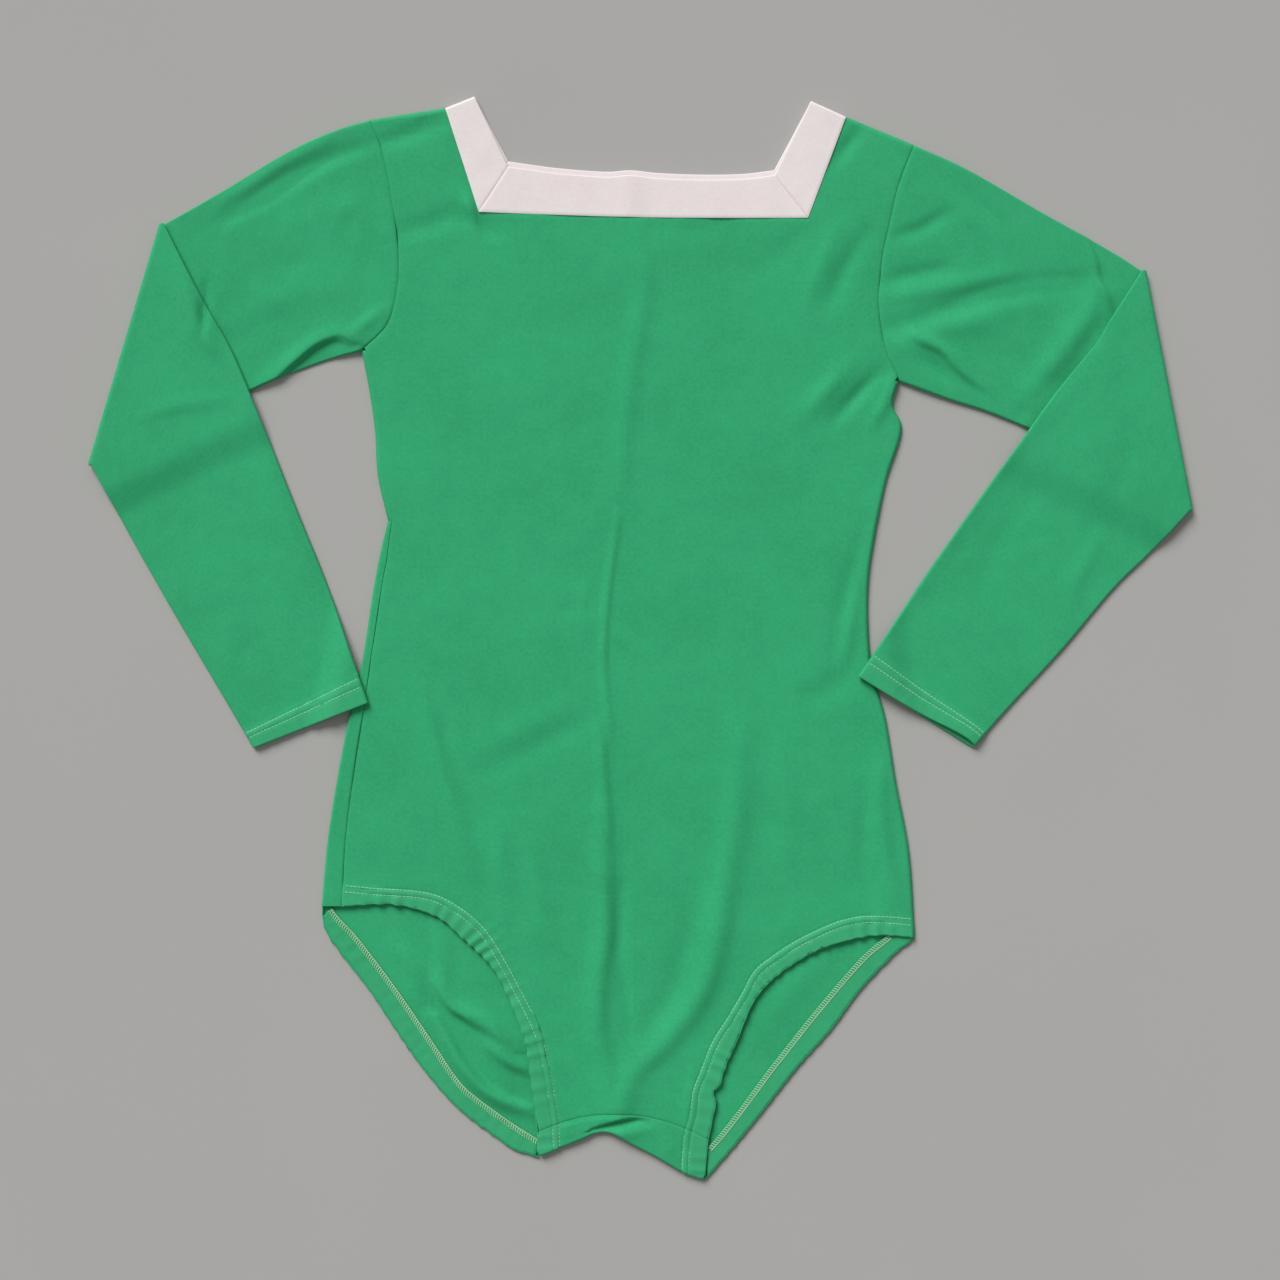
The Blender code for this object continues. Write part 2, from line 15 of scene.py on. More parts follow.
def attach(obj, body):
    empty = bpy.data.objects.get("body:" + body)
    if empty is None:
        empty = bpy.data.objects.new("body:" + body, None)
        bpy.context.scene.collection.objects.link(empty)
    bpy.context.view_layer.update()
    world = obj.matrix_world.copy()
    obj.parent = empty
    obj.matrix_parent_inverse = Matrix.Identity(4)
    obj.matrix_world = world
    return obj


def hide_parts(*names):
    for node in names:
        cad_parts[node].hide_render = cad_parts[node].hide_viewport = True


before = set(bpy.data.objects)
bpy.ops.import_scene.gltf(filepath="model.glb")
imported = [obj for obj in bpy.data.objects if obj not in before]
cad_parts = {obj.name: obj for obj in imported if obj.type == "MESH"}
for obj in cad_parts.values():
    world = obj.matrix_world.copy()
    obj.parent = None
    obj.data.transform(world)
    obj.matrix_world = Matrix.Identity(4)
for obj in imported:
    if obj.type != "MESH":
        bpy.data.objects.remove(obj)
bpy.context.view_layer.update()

METRES = 0.001

# Cloth and levels, each the height of a wall's middle surface
CLOTH = 0.8  # wall of one layer of knit
BAND = 0.75  # wall of each of the neck band's two layers
BAND_HALF = 0.52  # half the distance between them
BAND_OUTSIDE = BAND_HALF + BAND / 2  # from the folded band's middle to its outside
BAND_SAG = 1.6  # how far the lower edge of the front's band bows down between its corners
SEAM = 0.06  # gap between two pieces at a seam
BACK_LEVEL = CLOTH / 2
FRONT_LEVEL = 3.6
CURL = (FRONT_LEVEL - BACK_LEVEL) / 2  # radius over which the back turns up on to the front
ROLL_WIDTH = 2.8  # how far in from its edge the front begins to roll down
ROLL_END = 0.5  # height at which the rolled edge ends
ROLL_STEPS = 8
TURN_ANGLES = np.linspace(math.pi, 0, ROLL_STEPS + 1)[:-1]  # round a hem's turned edge
BACK_INSET = 1.0  # how far the back's edge lies inside the front's rolled edge
BACK_NECK_RISE = 4.0  # how far the back band shows above the front band
HEM_TURN = 0.72  # radius of a leg hem's turned edge
HEM_WIDTH = 12.0
HEM_ROWS = 13  # points across a hem's turned-in strip
SCALLOP = (0.42, 0.24)  # how far the gathers push the left and right hems' edges in and out
PRESSED = BACK_LEVEL + CLOTH + 0.05  # lowest level of a layer that lies on the lowest one

# Sleeves
SPREAD = 0.9  # half the distance between the two layers of a flat sleeve
SLEEVE_LEVEL = BACK_LEVEL + SPREAD
ELBOW_RADIUS = 1.85
ELBOW_INSET = ELBOW_RADIUS + SPREAD + CLOTH / 2
FOREARM_LEVEL = SLEEVE_LEVEL + 2 * ELBOW_RADIUS
CUFF_LEVEL = 6.2
LEAVE_ARM = (20, 48)  # distances past the upper arm over which the forearm comes down to the table
MEET_BODY = (8, 30)  # distances from the body over which it comes down from it
BARE_ARM = 7  # how far from the forearm the upper arm's ridges have their full height
CUFF_HEM = 14.0
CUFF_SPREAD = 1.3  # SPREAD at the cuff, where the cloth is double
CUFF_TURN = 0.44  # radius of the cuff's turned edge
CUFF_INSIDE = 6.0  # how far the turned-in cloth of the cuff runs back inside it
CUFF_GATHERS = (0.46, 0.09)  # height of the puckers along the left and right cuffs' hems
GAPE = (0.9, 0.30, 0.13)  # the share of a cuff's width where it gapes most, and the spread to each side
CUFF_OPENING = ((0.0, 0.6), (3.4, 2.0))  # how far each cuff's upper layer is drawn back and lifted

WORDS = ("left", "right")
OUTWARD = (-1, 1)  # the way out from the body at the left and the right

# Rows across the body: left x and y, right x and y, rise of the middle, and the power of its curve
# where that isn't 4
ARMHOLE_ROWS = (
    (-184, 353, 186, 336, 0),
    (-174, 325, 176, 310, 0),
    (-168, 290, 170, 285, 0),
    (-165, 261, 164, 256, 0),
    (-166, 235, 162, 226, 0),
    (-173, 213, 166, 199, 0),
    (-190, 196, 176, 175, 0),
)
UPPER_SIDE_ROWS = (
    ARMHOLE_ROWS[-1],
    (-185, 170, 172, 159, 0),
    (-181, 142, 178, 142, 0),
    (-179, 111, 168, 109, 0),
    (-172, 80, 161, 77, 0),
)
LOWER_SIDE_ROWS = (
    UPPER_SIDE_ROWS[-1],
    (-178, 54, 156, 45, 2),
    (-183, 26, 155, 13, 4),
    (-189, -13, 158, -23, 8),
    (-198, -52, 167, -54, 12),
    (-206, -93, 174, -97, 18),
    (-213, -138, 183, -145, 25),
    (-217, -182, 187, -203, 32),
)
FRONT_LEG_ROWS = (
    (-203, -182, 184, -203, 32, 4),
    (-168, -181, 159, -202, 18, 4),
    (-139, -189, 131, -208, 9, 4),
    (-121, -204, 111, -217, 2, 4),
    (-101.5, -223, 91, -231, 0, 4),
    (-89, -246, 77, -247, 0, 4),
    (-79, -272, 66, -273, 0, 4),
    (-75, -297, 56, -297, 2, 3),
    (-70, -336, 46, -341, 15, 2),
)
BACK_LEG_ROWS = (
    LOWER_SIDE_ROWS[-1],
    (-215, -197, 182, -208, 21),
    (-206, -212, 174, -214, 10),
    (-185, -239, 150, -239, 4),
    (-167, -266, 130, -266, 4),
    (-148, -293, 106, -293, 8),
    (-123, -321, 84, -321, 16),
    (-87, -348, 62, -348, 37),
)
# y, and how far in from the left edge the side seam lies there
SEAM_STRIP = ((80, 2.9), (54, 5.5), (-13, 5.5), (-52, 9.0), (-93, 10.5), (-182, 13.6))
CROTCH_FOLD = (  # x, y, how much the fold is lifted off the table
    (-70, -353, 0.0),
    (-55, -347, 0.2),
    (-41, -341, 0.8),
    (-28, -336, 1.8),
    (-16, -337, 2.2),
    (-5, -344, 1.4),
    (13, -354, 0.4),
    (30, -364, 0.1),
    (44, -369, 0.0),
)
TOES = ((-69.7, -353.3), (44.2, -368.4))  # the back's lowest corners
UNDER_DEPTH = (2, 18)  # how far the crotch piece runs back under the garment, at its ends and middle

# Square neck
NECK_OUTER = ((-110, 290), (114, 286))
NECK_INNER = ((-90, 321), (91, 315))
SHOULDER_OUTER = ((-133, 361), (140, 355))
SHOULDER_INNER = ((-113, 369), (116, 366))
BAND_TOP = ((-90, 321), (-57, 316.5), (-24, 314), (-7, 315), (14, 313), (43, 312), (70, 312.5), (91, 315))
MITRES = (0.01, 0.08)  # gaps at the neck band's left and right mitres
NECK_SHARES = (0.1716, 0.8343)  # where the neck's two corners come in the width of the neck row

# Outlines of the folded sleeves, each from the shoulder towards the cuff
SLEEVES = {
    "left": {
        "over": ((-184, 353), (-208, 346), (-240, 332), (-287, 305), (-327, 283)),
        "under": ((-190, 196), (-220, 188), (-266, 170), (-321, 145), (-376, 118)),
        "inner": ((-327, 283), (-300, 232), (-274, 185), (-234, 87), (-212, 33), (-185, -43)),
        "outer": ((-376, 118), (-351, 74), (-319, 19), (-287, -35), (-264, -74)),
    },
    "right": {
        "over": ((186, 336), (224, 319), (274, 291), (323, 264), (344, 251)),
        "under": ((176, 175), (210, 163), (247, 151), (319, 120), (376, 87)),
        "inner": (
            (344, 251), (322, 218), (316, 208), (311.5, 201), (292, 178), (271, 151), (206, 60),
            (178, 19), (148, -25),
        ),  # fmt: skip
        "outer": ((376, 87), (350, 60), (322, 33), (287, -8), (249, -49), (227, -74)),
    },
}

# How finely the grids are cut
BODY_STEPS = 8  # between two named rows of the front
LEG_STEPS = 17  # the same, beside the leg openings
BACK_STEPS = 6
BACK_LEG_STEPS = 15
SHOULDER_COLUMNS = 34
MIDDLE_COLUMNS = 66
MIDDLE_CREASE = (0.475, 0.05)  # share of the width where the columns are closest, and over how much
BACK_SHOULDER_COLUMNS = 28
BACK_MIDDLE_COLUMNS = 56
SLEEVE_STEPS = 13  # across a sleeve, between two named points of the armhole
UPPER_ARM_RINGS = 80
ELBOW_RINGS = 12
FOREARM_RINGS = 84
CUFF_RINGS = 22
EDGE_STEPS = 5  # round a sleeve's flattened edge

# Creases of the front: points in plan, half width to the left and right of the line, height.
# A trough's height is below zero.
FRONT_CREASES = (
    # Down the middle
    (((-3, 278), (4, 250), (0, 215), (-8, 165), (-14, 100)), 6, 8, 1.5),
    (((-15, 85), (-19, 55), (-22, 32), (-24, 7), (-25, -20), (-21, -55), (-20, -68)), 2.2, 3.2, 1.5),
    (((-27, -60), (-25, -94), (-21, -134)), 3.2, 5, 2.1),
    (((-26, -118), (-25, -163), (-24, -200), (-28, -231), (-28, -268), (-22, -300)), 6, 8, 3.3),
    (((-11, -145), (-14, -203), (-10, -240), (-8, -268)), 5, 6, -1.4),
    # The long fold that sweeps into the crotch from the right hip
    (((68, -60), (65, -125), (58, -163), (53, -200), (42, -240), (20, -271), (-4, -296), (-11, -318)),
     8, 9, 3.3),  # fmt: skip
    (((36, -170), (31, -205), (20, -240), (2, -268)), 8, 8, -1.2),
    (((96, -70), (100, -120), (97, -160)), 8, 7, 1.0),
    # Left hip
    (((-149, -36), (-137, -79), (-124, -119), (-115, -158)), 3.6, 7, 1.9),
    (((-140, -30), (-128, -80), (-112, -130)), 4, 4, -0.7),
    (((-98, -125), (-95, -156), (-92, -190)), 6, 5, 1.7),
    (((-116, -80), (-80, -62), (-45, -44)), 9, 6, 1.1),
    (((-110, -94), (-74, -76), (-40, -58)), 6, 6, -0.9),
    (((-55, -150), (-52, -184), (-49, -215)), 9, 9, -1.0),
    (((-74, -140), (-70, -175), (-62, -205)), 5, 5, 0.9),
    # Right side, beside and below the cuff
    (((104, -40), (126, -37), (142, -23), (147, 0)), 8, 8, -1.5),
    (((165, -80), (163, -113), (168, -150), (174, -178)), 5, 7, 1.8),
    (((153, -110), (151, -150), (156, -175)), 5, 6, -1.1),
    (((153, 78), (146, 54), (136, 14), (129, -28)), 6, 6, -1.2),
    (((148, 40), (143, 12), (140, -12)), 4, 4, 1.1),
    # Chest
    (((-172, 274), (-146, 281), (-126, 287), (-98, 281)), 6, 7, -1.8),
    (((-119, 300), (-115, 290), (-111, 280)), 3.0, 3.6, 3.0),
    (((-112, 286), (-105, 278), (-96, 272)), 3.5, 3.5, -1.3),
    (((-70, 274), (-52, 250), (-39, 230)), 6, 7, -0.7),
    (((12, 281), (34, 277), (58, 281)), 6, 6, -0.7),
    (((78, 250), (95, 262), (112, 277)), 6, 7, -0.9),
    (((128, 226), (139, 252), (154, 276)), 6, 7, -1.9),
    (((112, 226), (122, 252), (134, 280)), 6, 6, 1.2),
    # Right underarm
    (((132, 148), (146, 164), (163, 182)), 5, 5, -2.4),
    (((112, 152), (126, 168), (142, 186)), 7, 7, 2.2),
    (((158, 146), (167, 162), (174, 182)), 4, 4, 1.8),
    # Shoulders
    (((-186, 335), (-160, 343), (-134, 353)), 4, 6, -2.1),
    (((132, 322), (140, 334), (150, 346)), 5, 5, -1.8),
    # Puckers where the middle crease is pinched
    (((-20, 9), (-12, -1), (-2, -7), (4, -17)), 2.2, 2.6, 0.8),
    (((5, 10), (12, 0), (11, -12)), 2.6, 3.0, 0.7),
    (((-58, 16), (-46, 20), (-37, 18)), 4, 4, -0.7),
    (((-34, 40), (-40, 22), (-38, 4)), 3, 3, 0.5),
    (((-84, 84), (-78, 72), (-76, 60)), 6, 5, 0.6),
    # Above the crotch seam
    (((-17, -302), (-16, -318), (-13, -334)), 11, 13, 2.8),
    (((-52, -296), (-44, -312), (-36, -326)), 6, 6, -0.9),
    # The left casing stands higher towards the crotch
    (((-86, -254), (-75, -285), (-67, -316)), 7, 12, 1.5),
    # Where the right casing is doubled over, above the seam
    (((36, -297), (34, -309), (32, -324), (30, -340)), 3.2, 5.5, 1.0),
)
GUSSET_CREASES = (
    (((-33, -334), (-20, -330), (-10, -327.5), (2, -326.5)), 1.1, 4.4, -3.8),
    (((-28, -339), (-12, -337), (6, -334)), 4, 4, 0.8),
    (((14, -338), (22, -352)), 6, 6, 0.8),
    (((-52, -326), (-48, -340)), 5, 5, 0.6),
)
BACK_CREASES = (  # on the inside of the back, in the leg openings
    (((-139, -234), (-129, -250), (-116, -258), (-100, -267), (-84, -280)), 6.5, 3.0, 4.6),
    (((-140, -258), (-130, -275), (-121, -290), (-108, -305), (-92, -315), (-74, -321)), 3.2, 6.0, 5.0),
    (((-166, -208), (-154, -226), (-150, -244)), 6, 6, 2.3),
    (((-136, -198), (-133, -214), (-132, -232)), 4, 6, 2.0),
    (((-124, -222), (-107, -251), (-96, -278), (-90, -300)), 6, 13, 2.2),
    (((-104, -276), (-89, -288), (-73, -296)), 6.0, 3.6, 3.6),
    (((128, -214), (104, -240), (82, -272)), 9, 9, 1.0),
)
BACK_FOLDS = (1.0, 5.0)  # the most height that the back's folds have, under the front and clear of it
BACK_FOLDS_RISE = (-1, 6)  # distances past the front's edge over which it grows
UNDERSIDE_CREASES = (  # shallow hollows in the cloth that lies on the table
    (((-40, 250), (-52, 190), (-46, 120)), 9, 8, 0.8),
    (((60, 270), (44, 220), (48, 160)), 8, 9, 0.7),
    (((-150, 60), (-96, 34), (-40, 30)), 8, 9, 0.9),
    (((20, 60), (24, -20), (10, -90)), 8, 7, 0.9),
    (((120, 40), (84, 0), (70, -60)), 9, 8, 0.8),
    (((-90, -60), (-74, -130), (-46, -200)), 9, 8, 1.0),
    (((96, -110), (66, -180), (30, -240)), 9, 9, 1.0),
    (((-16, -200), (-12, -260), (-14, -310)), 8, 8, 1.1),
    (((-140, 250), (-118, 220), (-110, 180)), 8, 8, 0.7),
    (((140, 230), (122, 200), (118, 160)), 8, 8, 0.7),
)
SLEEVE_CREASES = {  # on the side that shows
    "left": (
        (((-284, 284), (-257, 299), (-237, 312), (-214, 325), (-182, 337)), 7, 5, -2.2),
        (((-286, 297), (-262, 311), (-242, 324), (-214, 338)), 5, 4, 1.4),
        (((-258, 168), (-243, 182), (-234, 190), (-220, 201), (-206, 206), (-195, 202)), 7.0, 1.5, 2.5),
        (((-198, 204), (-188, 214), (-176, 224)), 4, 5, 1.3),
        (((-250, 262), (-236, 254), (-222, 262)), 9, 9, -0.9),
        (((-210, 280), (-196, 292), (-188, 270)), 8, 7, 1.0),
        (((-262, 236), (-240, 226)), 9, 8, 0.8),
        (((-323, 272), (-312, 250), (-304, 226), (-301, 211)), 3.2, 8, 3.4),
        (((-297, 240), (-296, 226), (-299, 208)), 3.2, 2.8, -2.8),
        (((-302, 214), (-296, 205), (-288, 194)), 4, 5, 1.8),
        (((-338, 150), (-310, 158), (-284, 161)), 6, 3, 1.2),
        (((-321, 284), (-309, 258), (-297, 234), (-286, 213)), 7, 3, 1.7),
        (((-292, 219), (-284, 204), (-275, 187)), 5, 5, -1.0),
        (((-274, 170), (-254, 122), (-241, 84), (-218, 28), (-197, -16)), 4.5, 10, 1.5),
        (((-278, 92), (-262, 48), (-250, 6)), 8, 8, -0.9),
        (((-302, 58), (-284, 30), (-272, 2)), 8, 8, 0.9),
        (((-262, -20), (-250, -44)), 6, 6, 0.7),
    ),
    "right": (
        (((171, 273), (190, 279), (210, 291)), 4, 6, -1.9),
        (((167, 243), (186, 248), (210, 253)), 5, 6, -1.9),
        (((170, 231), (205, 238), (252, 248)), 6, 5, 1.4),
        (((169, 211), (190, 218), (213, 226), (233, 234), (266, 240), (309, 245)), 6, 8, -2.3),
        (((176, 200), (214, 212), (262, 226)), 8, 8, 1.5),
        (((222, 306), (230, 298), (238, 288)), 5, 5, -0.9),
        (((299, 279), (308, 258), (311, 244), (317, 232), (320, 220)), 2.6, 3.4, 2.6),
        (((187, 204), (205, 196), (216, 184), (230, 172)), 5.0, 2.4, 3.0),
        (((194, 190), (202, 184), (210, 174)), 5, 5, -2.4),
        (((312, 232), (299, 211), (281, 187), (262, 163)), 6.5, 9, 3.0),
        (((330, 232), (313, 207), (292, 179), (272, 152)), 5, 5, -1.0),
        (((313, 203), (318, 190), (326, 176)), 7, 6, 1.2),
        (((296, 190), (262, 144), (214, 78), (190, 40), (166, 6)), 9, 4.5, 1.3),
        (((338, 150), (330, 118), (322, 92)), 8, 8, -0.9),
        (((312, 66), (300, 46), (296, 30)), 6, 7, 0.9),
        (((262, 96), (244, 66), (232, 40)), 9, 9, -0.7),
    ),
}
# The line at the left underarm past which the sleeve's upper layer lies on the lower one
DRAWN_BACK = ((-262, 164), (-243, 181), (-234, 189), (-220, 199.5), (-206, 204), (-192, 199))
SLEEVE_UNDERSIDE = {  # on the side that lies on the table
    "left": ((((-200, 240), (-240, 232), (-290, 210)), 8, 8, 0.6), (((-196, 300), (-250, 274)), 8, 8, 0.6)),
    "right": ((((196, 300), (250, 270)), 8, 8, 0.6), (((190, 220), (240, 210), (290, 180)), 8, 8, 0.6)),
}

# The upper stitch row of each leg casing, from the side seam down to the crotch fold
CASING_ROWS = (
    ((-203, -168), (-182, -170), (-146, -173), (-125, -182), (-106, -198), (-92, -220), (-82, -239),
     (-69, -265), (-63, -287), (-59, -308), (-56, -327), (-55, -346)),
    ((187, -191), (159, -189), (141, -191), (124, -197), (104, -207), (89, -217), (78, -226), (69, -242),
     (59, -259), (49, -275), (41, -295), (36, -308), (34, -323), (30, -338), (28, -364)),
)  # fmt: skip
# The overlocked inner edge of the back's leg hems
SERGED_EDGES = (
    ((-212, -184), (-206, -192), (-193, -206), (-168, -239), (-144, -274), (-125, -302), (-111, -315),
     (-89, -331), (-70, -343)),
    ((170, -203), (152, -218), (124, -250), (96, -285), (83, -302), (69, -321), (55, -339), (47, -348)),
)  # fmt: skip
PAST_SERGING = 1.9  # how far the cloth runs past the middle of the overlocking
CASING_ROW_GAP = 4.2  # from a casing's upper stitch row to its lower one
CASING_NOTCH = (-3.8, -309.5, 3.4)  # the dent in the right casing's edge: its depth, y and half length
BACK_HEM_START = (7, 2)  # the row below the corner at which each of the back's hems begins
TOE_ROWS = 9  # rows of the back between the last named one and the seam at the crotch
TOE_ROUND = 2.6  # radius of the crotch piece's rounded ends
CURL_END_ROWS = 7  # the rows over which the back's turned-up strip becomes the edge of its hem
GUSSET_ROWS = 22
PUCKER_PITCH = 9.5
CUFF_ROWS = (9.0, 13.8)  # distances of a cuff's stitch rows from its edge
LARGEST_STEP = 0.9  # no stitch spans a larger step in height
STITCH, FINE_STITCH = 0.36, 0.34  # radius of a stitch at a cuff, and at a leg

# Colours, linear
GREEN = ((0.018, 0.292, 0.113), (0.035, 0.424, 0.184))  # darker and lighter yarn
HEM_TINT = (0.050, 0.411, 0.186)  # the lighter green given to the hems, where the cloth is double
WHITE = ((0.76, 0.69, 0.69), (0.88, 0.81, 0.81))
THREAD = ((0.15, 0.55, 0.29), (0.31, 0.69, 0.44))
SERGING = ((0.24, 0.50, 0.27), (0.50, 0.70, 0.46))
FLOOR = ((0.40, 0.395, 0.385), (0.43, 0.425, 0.415))
FLOOR_REACH = 40  # metres from the middle to each side
KEY_FROM = (-0.40, 0.74, 0.62)  # the side that the soft key light comes from
KEY_SOFTNESS, KEY_STRENGTH = 32, 3.2  # its breadth in degrees, and its strength
ROUND_LIGHT, ROUND_STRENGTH = (1.0, 0.99, 0.97, 1.0), 0.31  # the light from all round
GREEN_STITCH, WHITE_STITCH = 0.0008, 0.0007  # width of a knitted stitch, in metres
GREEN_SHEEN, WHITE_SHEEN = 0.35, 0.2


def spline(points, steps):
    """A smooth curve through every point, with this many steps between two of them."""
    points = np.array(points, float)
    padded = np.vstack([2 * points[0] - points[1], points, 2 * points[-1] - points[-2]])
    made = []
    for k in range(1, len(padded) - 2):
        a, b, c, d = padded[k - 1 : k + 3]
        for t in np.arange(steps) / steps:
            cubic = 3 * b - a - 3 * c + d
            made.append((2 * b + (c - a) * t + (2 * a - 5 * b + 4 * c - d) * t**2 + cubic * t**3) / 2)
    return np.array([*made, points[-1]])


def lengths_along(line):
    return np.r_[0, np.cumsum(np.linalg.norm(np.diff(line, axis=0), axis=1))]


def at_shares(line, shares):
    """Points at these shares of a line's length."""
    lengths = lengths_along(line)
    return np.stack([np.interp(shares * lengths[-1], lengths, axis) for axis in line.T], axis=-1)


def point_at(line, share):
    return at_shares(line, np.array([share]))[0]


def offset_line(line, distance):
    """A plan line moved sideways, to the left of its direction."""
    run = np.gradient(line, axis=0)
    normal = np.stack([-run[:, 1], run[:, 0]], axis=1)
    return line + distance * normal / np.linalg.norm(normal, axis=1, keepdims=True)


def ease(t):
    t = np.clip(t, 0.0, 1.0)
    return t * t * (3 - 2 * t)


def fall(distance, span):
    """1 up to the first distance of a span, easing to 0 at the second."""
    return ease((span[1] - distance) / (span[1] - span[0]))


def bell(away, width):
    """1 on a line, falling off smoothly over this distance to both sides."""
    return np.exp(-((away / width) ** 2))


def in_plan(points):
    return points[..., 0], points[..., 1]


def beside(line, x, y):
    """Signed distance from a line in plan, positive to its left, and the length along it, at every point."""
    line = np.array(line, float)
    lengths = lengths_along(line)
    best, side, along = np.full(np.shape(x), np.inf), np.ones(np.shape(x)), np.zeros(np.shape(x))
    for k, start in enumerate(line[:-1]):
        run = line[k + 1] - start
        dx, dy = x - start[0], y - start[1]
        t = np.clip((dx * run[0] + dy * run[1]) / (run @ run), 0, 1)
        away = np.hypot(dx - t * run[0], dy - t * run[1])
        nearer = away < best
        side = np.where(nearer, np.where(run[0] * dy - run[1] * dx >= 0, 1.0, -1.0), side)
        along = np.where(nearer, lengths[k] + t * math.sqrt(run @ run), along)
        best = np.where(nearer, away, best)
    return best * side, along


def creases(table, x, y):
    """The sum of soft ridges and troughs, each with its own width on its two sides, fading at both ends."""
    total = np.zeros(np.shape(x))
    for points, left, right, height in table:
        line = spline(points, 6)
        away, along = beside(line, x, y)
        share = along / lengths_along(line)[-1]
        fade = np.sin(math.pi * np.clip(0.1 + 0.8 * share, 0, 1)) ** 0.8
        total += height * fade * bell(away, np.where(away > 0, left, right))
    return total


def unevenness(x, y, size, seed):
    """Smooth lumps about this size across, between about -1 and 1, the same on every run."""
    table = np.random.default_rng(seed).uniform(-1, 1, (64, 64))
    gx, gy = np.asarray(x) / size + 31.7, np.asarray(y) / size + 29.3
    column, row = np.floor(gx).astype(int), np.floor(gy).astype(int)
    tx, ty = ease(gx - column), ease(gy - row)
    corner = lambda dy, dx: table[(row + dy) % 64, (column + dx) % 64]
    low = corner(0, 0) * (1 - tx) + corner(0, 1) * tx
    high = corner(1, 0) * (1 - tx) + corner(1, 1) * tx
    return low * (1 - ty) + high * ty


def lumps(x, y, seed):
    """The slight waviness that knitted cloth keeps when it is laid flat."""
    broad = 0.34 * unevenness(x + 0.4 * y, y - 0.3 * x, 34, seed)
    fine = 0.055 * unevenness(x + 0.7 * y, y - 0.2 * x, 7.5, seed + 2)
    return broad + 0.17 * unevenness(x - 0.5 * y, y + 0.4 * x, 15, seed + 1) + fine


def puckers(along):
    """Gathers along an elastic or a stitched hem, unevenly spaced and with narrow hollows."""
    phase = 2 * math.pi * along / PUCKER_PITCH + 0.9 * np.sin(along / 9.7) + 1.3 * np.sin(along / 23.0 + 1.0)
    size = 0.6 + 0.25 * np.sin(along / 14.0) + 0.25 * np.sin(along / 6.1 + 2.0)
    return np.cos(phase + 0.45 * np.sin(phase)) * size


def dip(away, depth, width):
    """A narrow groove, as a seam or a row of stitches draws in."""
    return -depth * bell(away, width)


def casing(side, x, y):
    """Relief of a leg casing: padded by its elastic, gathered, and drawn in along its two stitch rows."""
    upper = spline(CASING_ROWS[side], 4)
    away, along = beside(upper, x, y)
    into = away * OUTWARD[side]  # positive towards the leg opening
    inside = ease((into + 0.8) / 1.8)
    strength = (0.5 + 0.5 * fall(along, (150, 190)), 0.45 + 0.65 * fall(along, (60, 110)))[side]
    gathers = puckers(along) * strength * ease(along / 30)
    relief = 0.60 * inside + 0.52 * gathers * inside * ease((into - 2.5) / 3.5)
    relief += 0.24 * gathers * inside
    relief += (1 - inside) * (0.24 * gathers * np.exp(-np.abs(into) / 5.0))
    relief += dip(into, 0.42, 0.9) + dip(into - CASING_ROW_GAP, 0.42, 0.9)
    return relief


def in_casing(x, y):
    """1 within the leg casings and 0 outside them."""
    shares = []
    for side in (0, 1):
        away, _ = beside(spline(CASING_ROWS[side], 4), x, y)
        shares.append(ease((away * OUTWARD[side] + 0.6) / 1.2))
    return np.maximum(*shares)


def front_height(x, y):
    return FRONT_LEVEL + creases(FRONT_CREASES, x, y) + lumps(x, y, 3) + casing(0, x, y) + casing(1, x, y)


def column_shares(shoulder, middle):
    """Shares of the width at which the columns lie, closest together by the crease down the middle."""
    left = np.linspace(0, NECK_SHARES[0], shoulder + 1)
    fine = np.linspace(*NECK_SHARES, 400)
    crowding = 1 + 1.1 * bell(fine - MIDDLE_CREASE[0], MIDDLE_CREASE[1])
    reached = np.r_[0, np.cumsum(crowding[1:] + crowding[:-1])]
    centre = np.interp(np.linspace(0, 1, middle + 1), reached / reached[-1], fine)
    right = np.linspace(NECK_SHARES[1], 1, shoulder + 1)
    return np.r_[left, centre[1:], right[1:]]


def body_row(row, shares, left_in=0.0, right_in=0.0):
    """One row of a body panel in plan, with its ends moved in from the outline."""
    left_x, left_y, right_x, right_y, rise, *power = row
    x = left_x + left_in + (right_x - right_in - left_x - left_in) * shares
    y = left_y + (right_y - left_y) * shares + rise * (1 - np.abs(2 * shares - 1) ** (power or [4])[0])
    return np.stack([x, y], axis=1)


def shoulder_row(row, down, neck_rise, shares):
    """A row above the neckline, in stretches that end on the neck band. down is 1 at the neckline."""
    ends = []
    for top, corner in zip(SHOULDER_OUTER, NECK_OUTER):
        corner = np.array(corner) + (0, neck_rise)
        ends.append(np.array(top) * (1 - down) + corner * down)
    marks = np.array([row[0:2], *ends, row[2:4]])
    return np.stack([np.interp(shares, (0, *NECK_SHARES, 1), marks[:, axis]) for axis in (0, 1)], axis=1)


def upper_rows(top_insets, steps, neck_rise, shares):
    """Rows from the shoulder to the underarm. The first ones lie at these distances from the shoulder."""
    table = spline(ARMHOLE_ROWS, steps)
    neck_row = 2 * steps
    make = lambda k: shoulder_row(table[k], k / neck_row, neck_rise, shares)
    top, below = make(0), make(1)
    run = np.linalg.norm(below[0] - top[0])
    rows = [top + (below - top) * inset / run for inset in top_insets]
    first = 1 + int(max(top_insets) // run)
    rows += [make(k) for k in range(first, neck_row + 1)]
    rows += [body_row(row, shares) for row in table[neck_row + 1 :]]
    return rows, len(top_insets) + neck_row - first


def strip_inset(y):
    ys, insets = zip(*reversed(SEAM_STRIP))
    return float(np.interp(y, ys, insets))


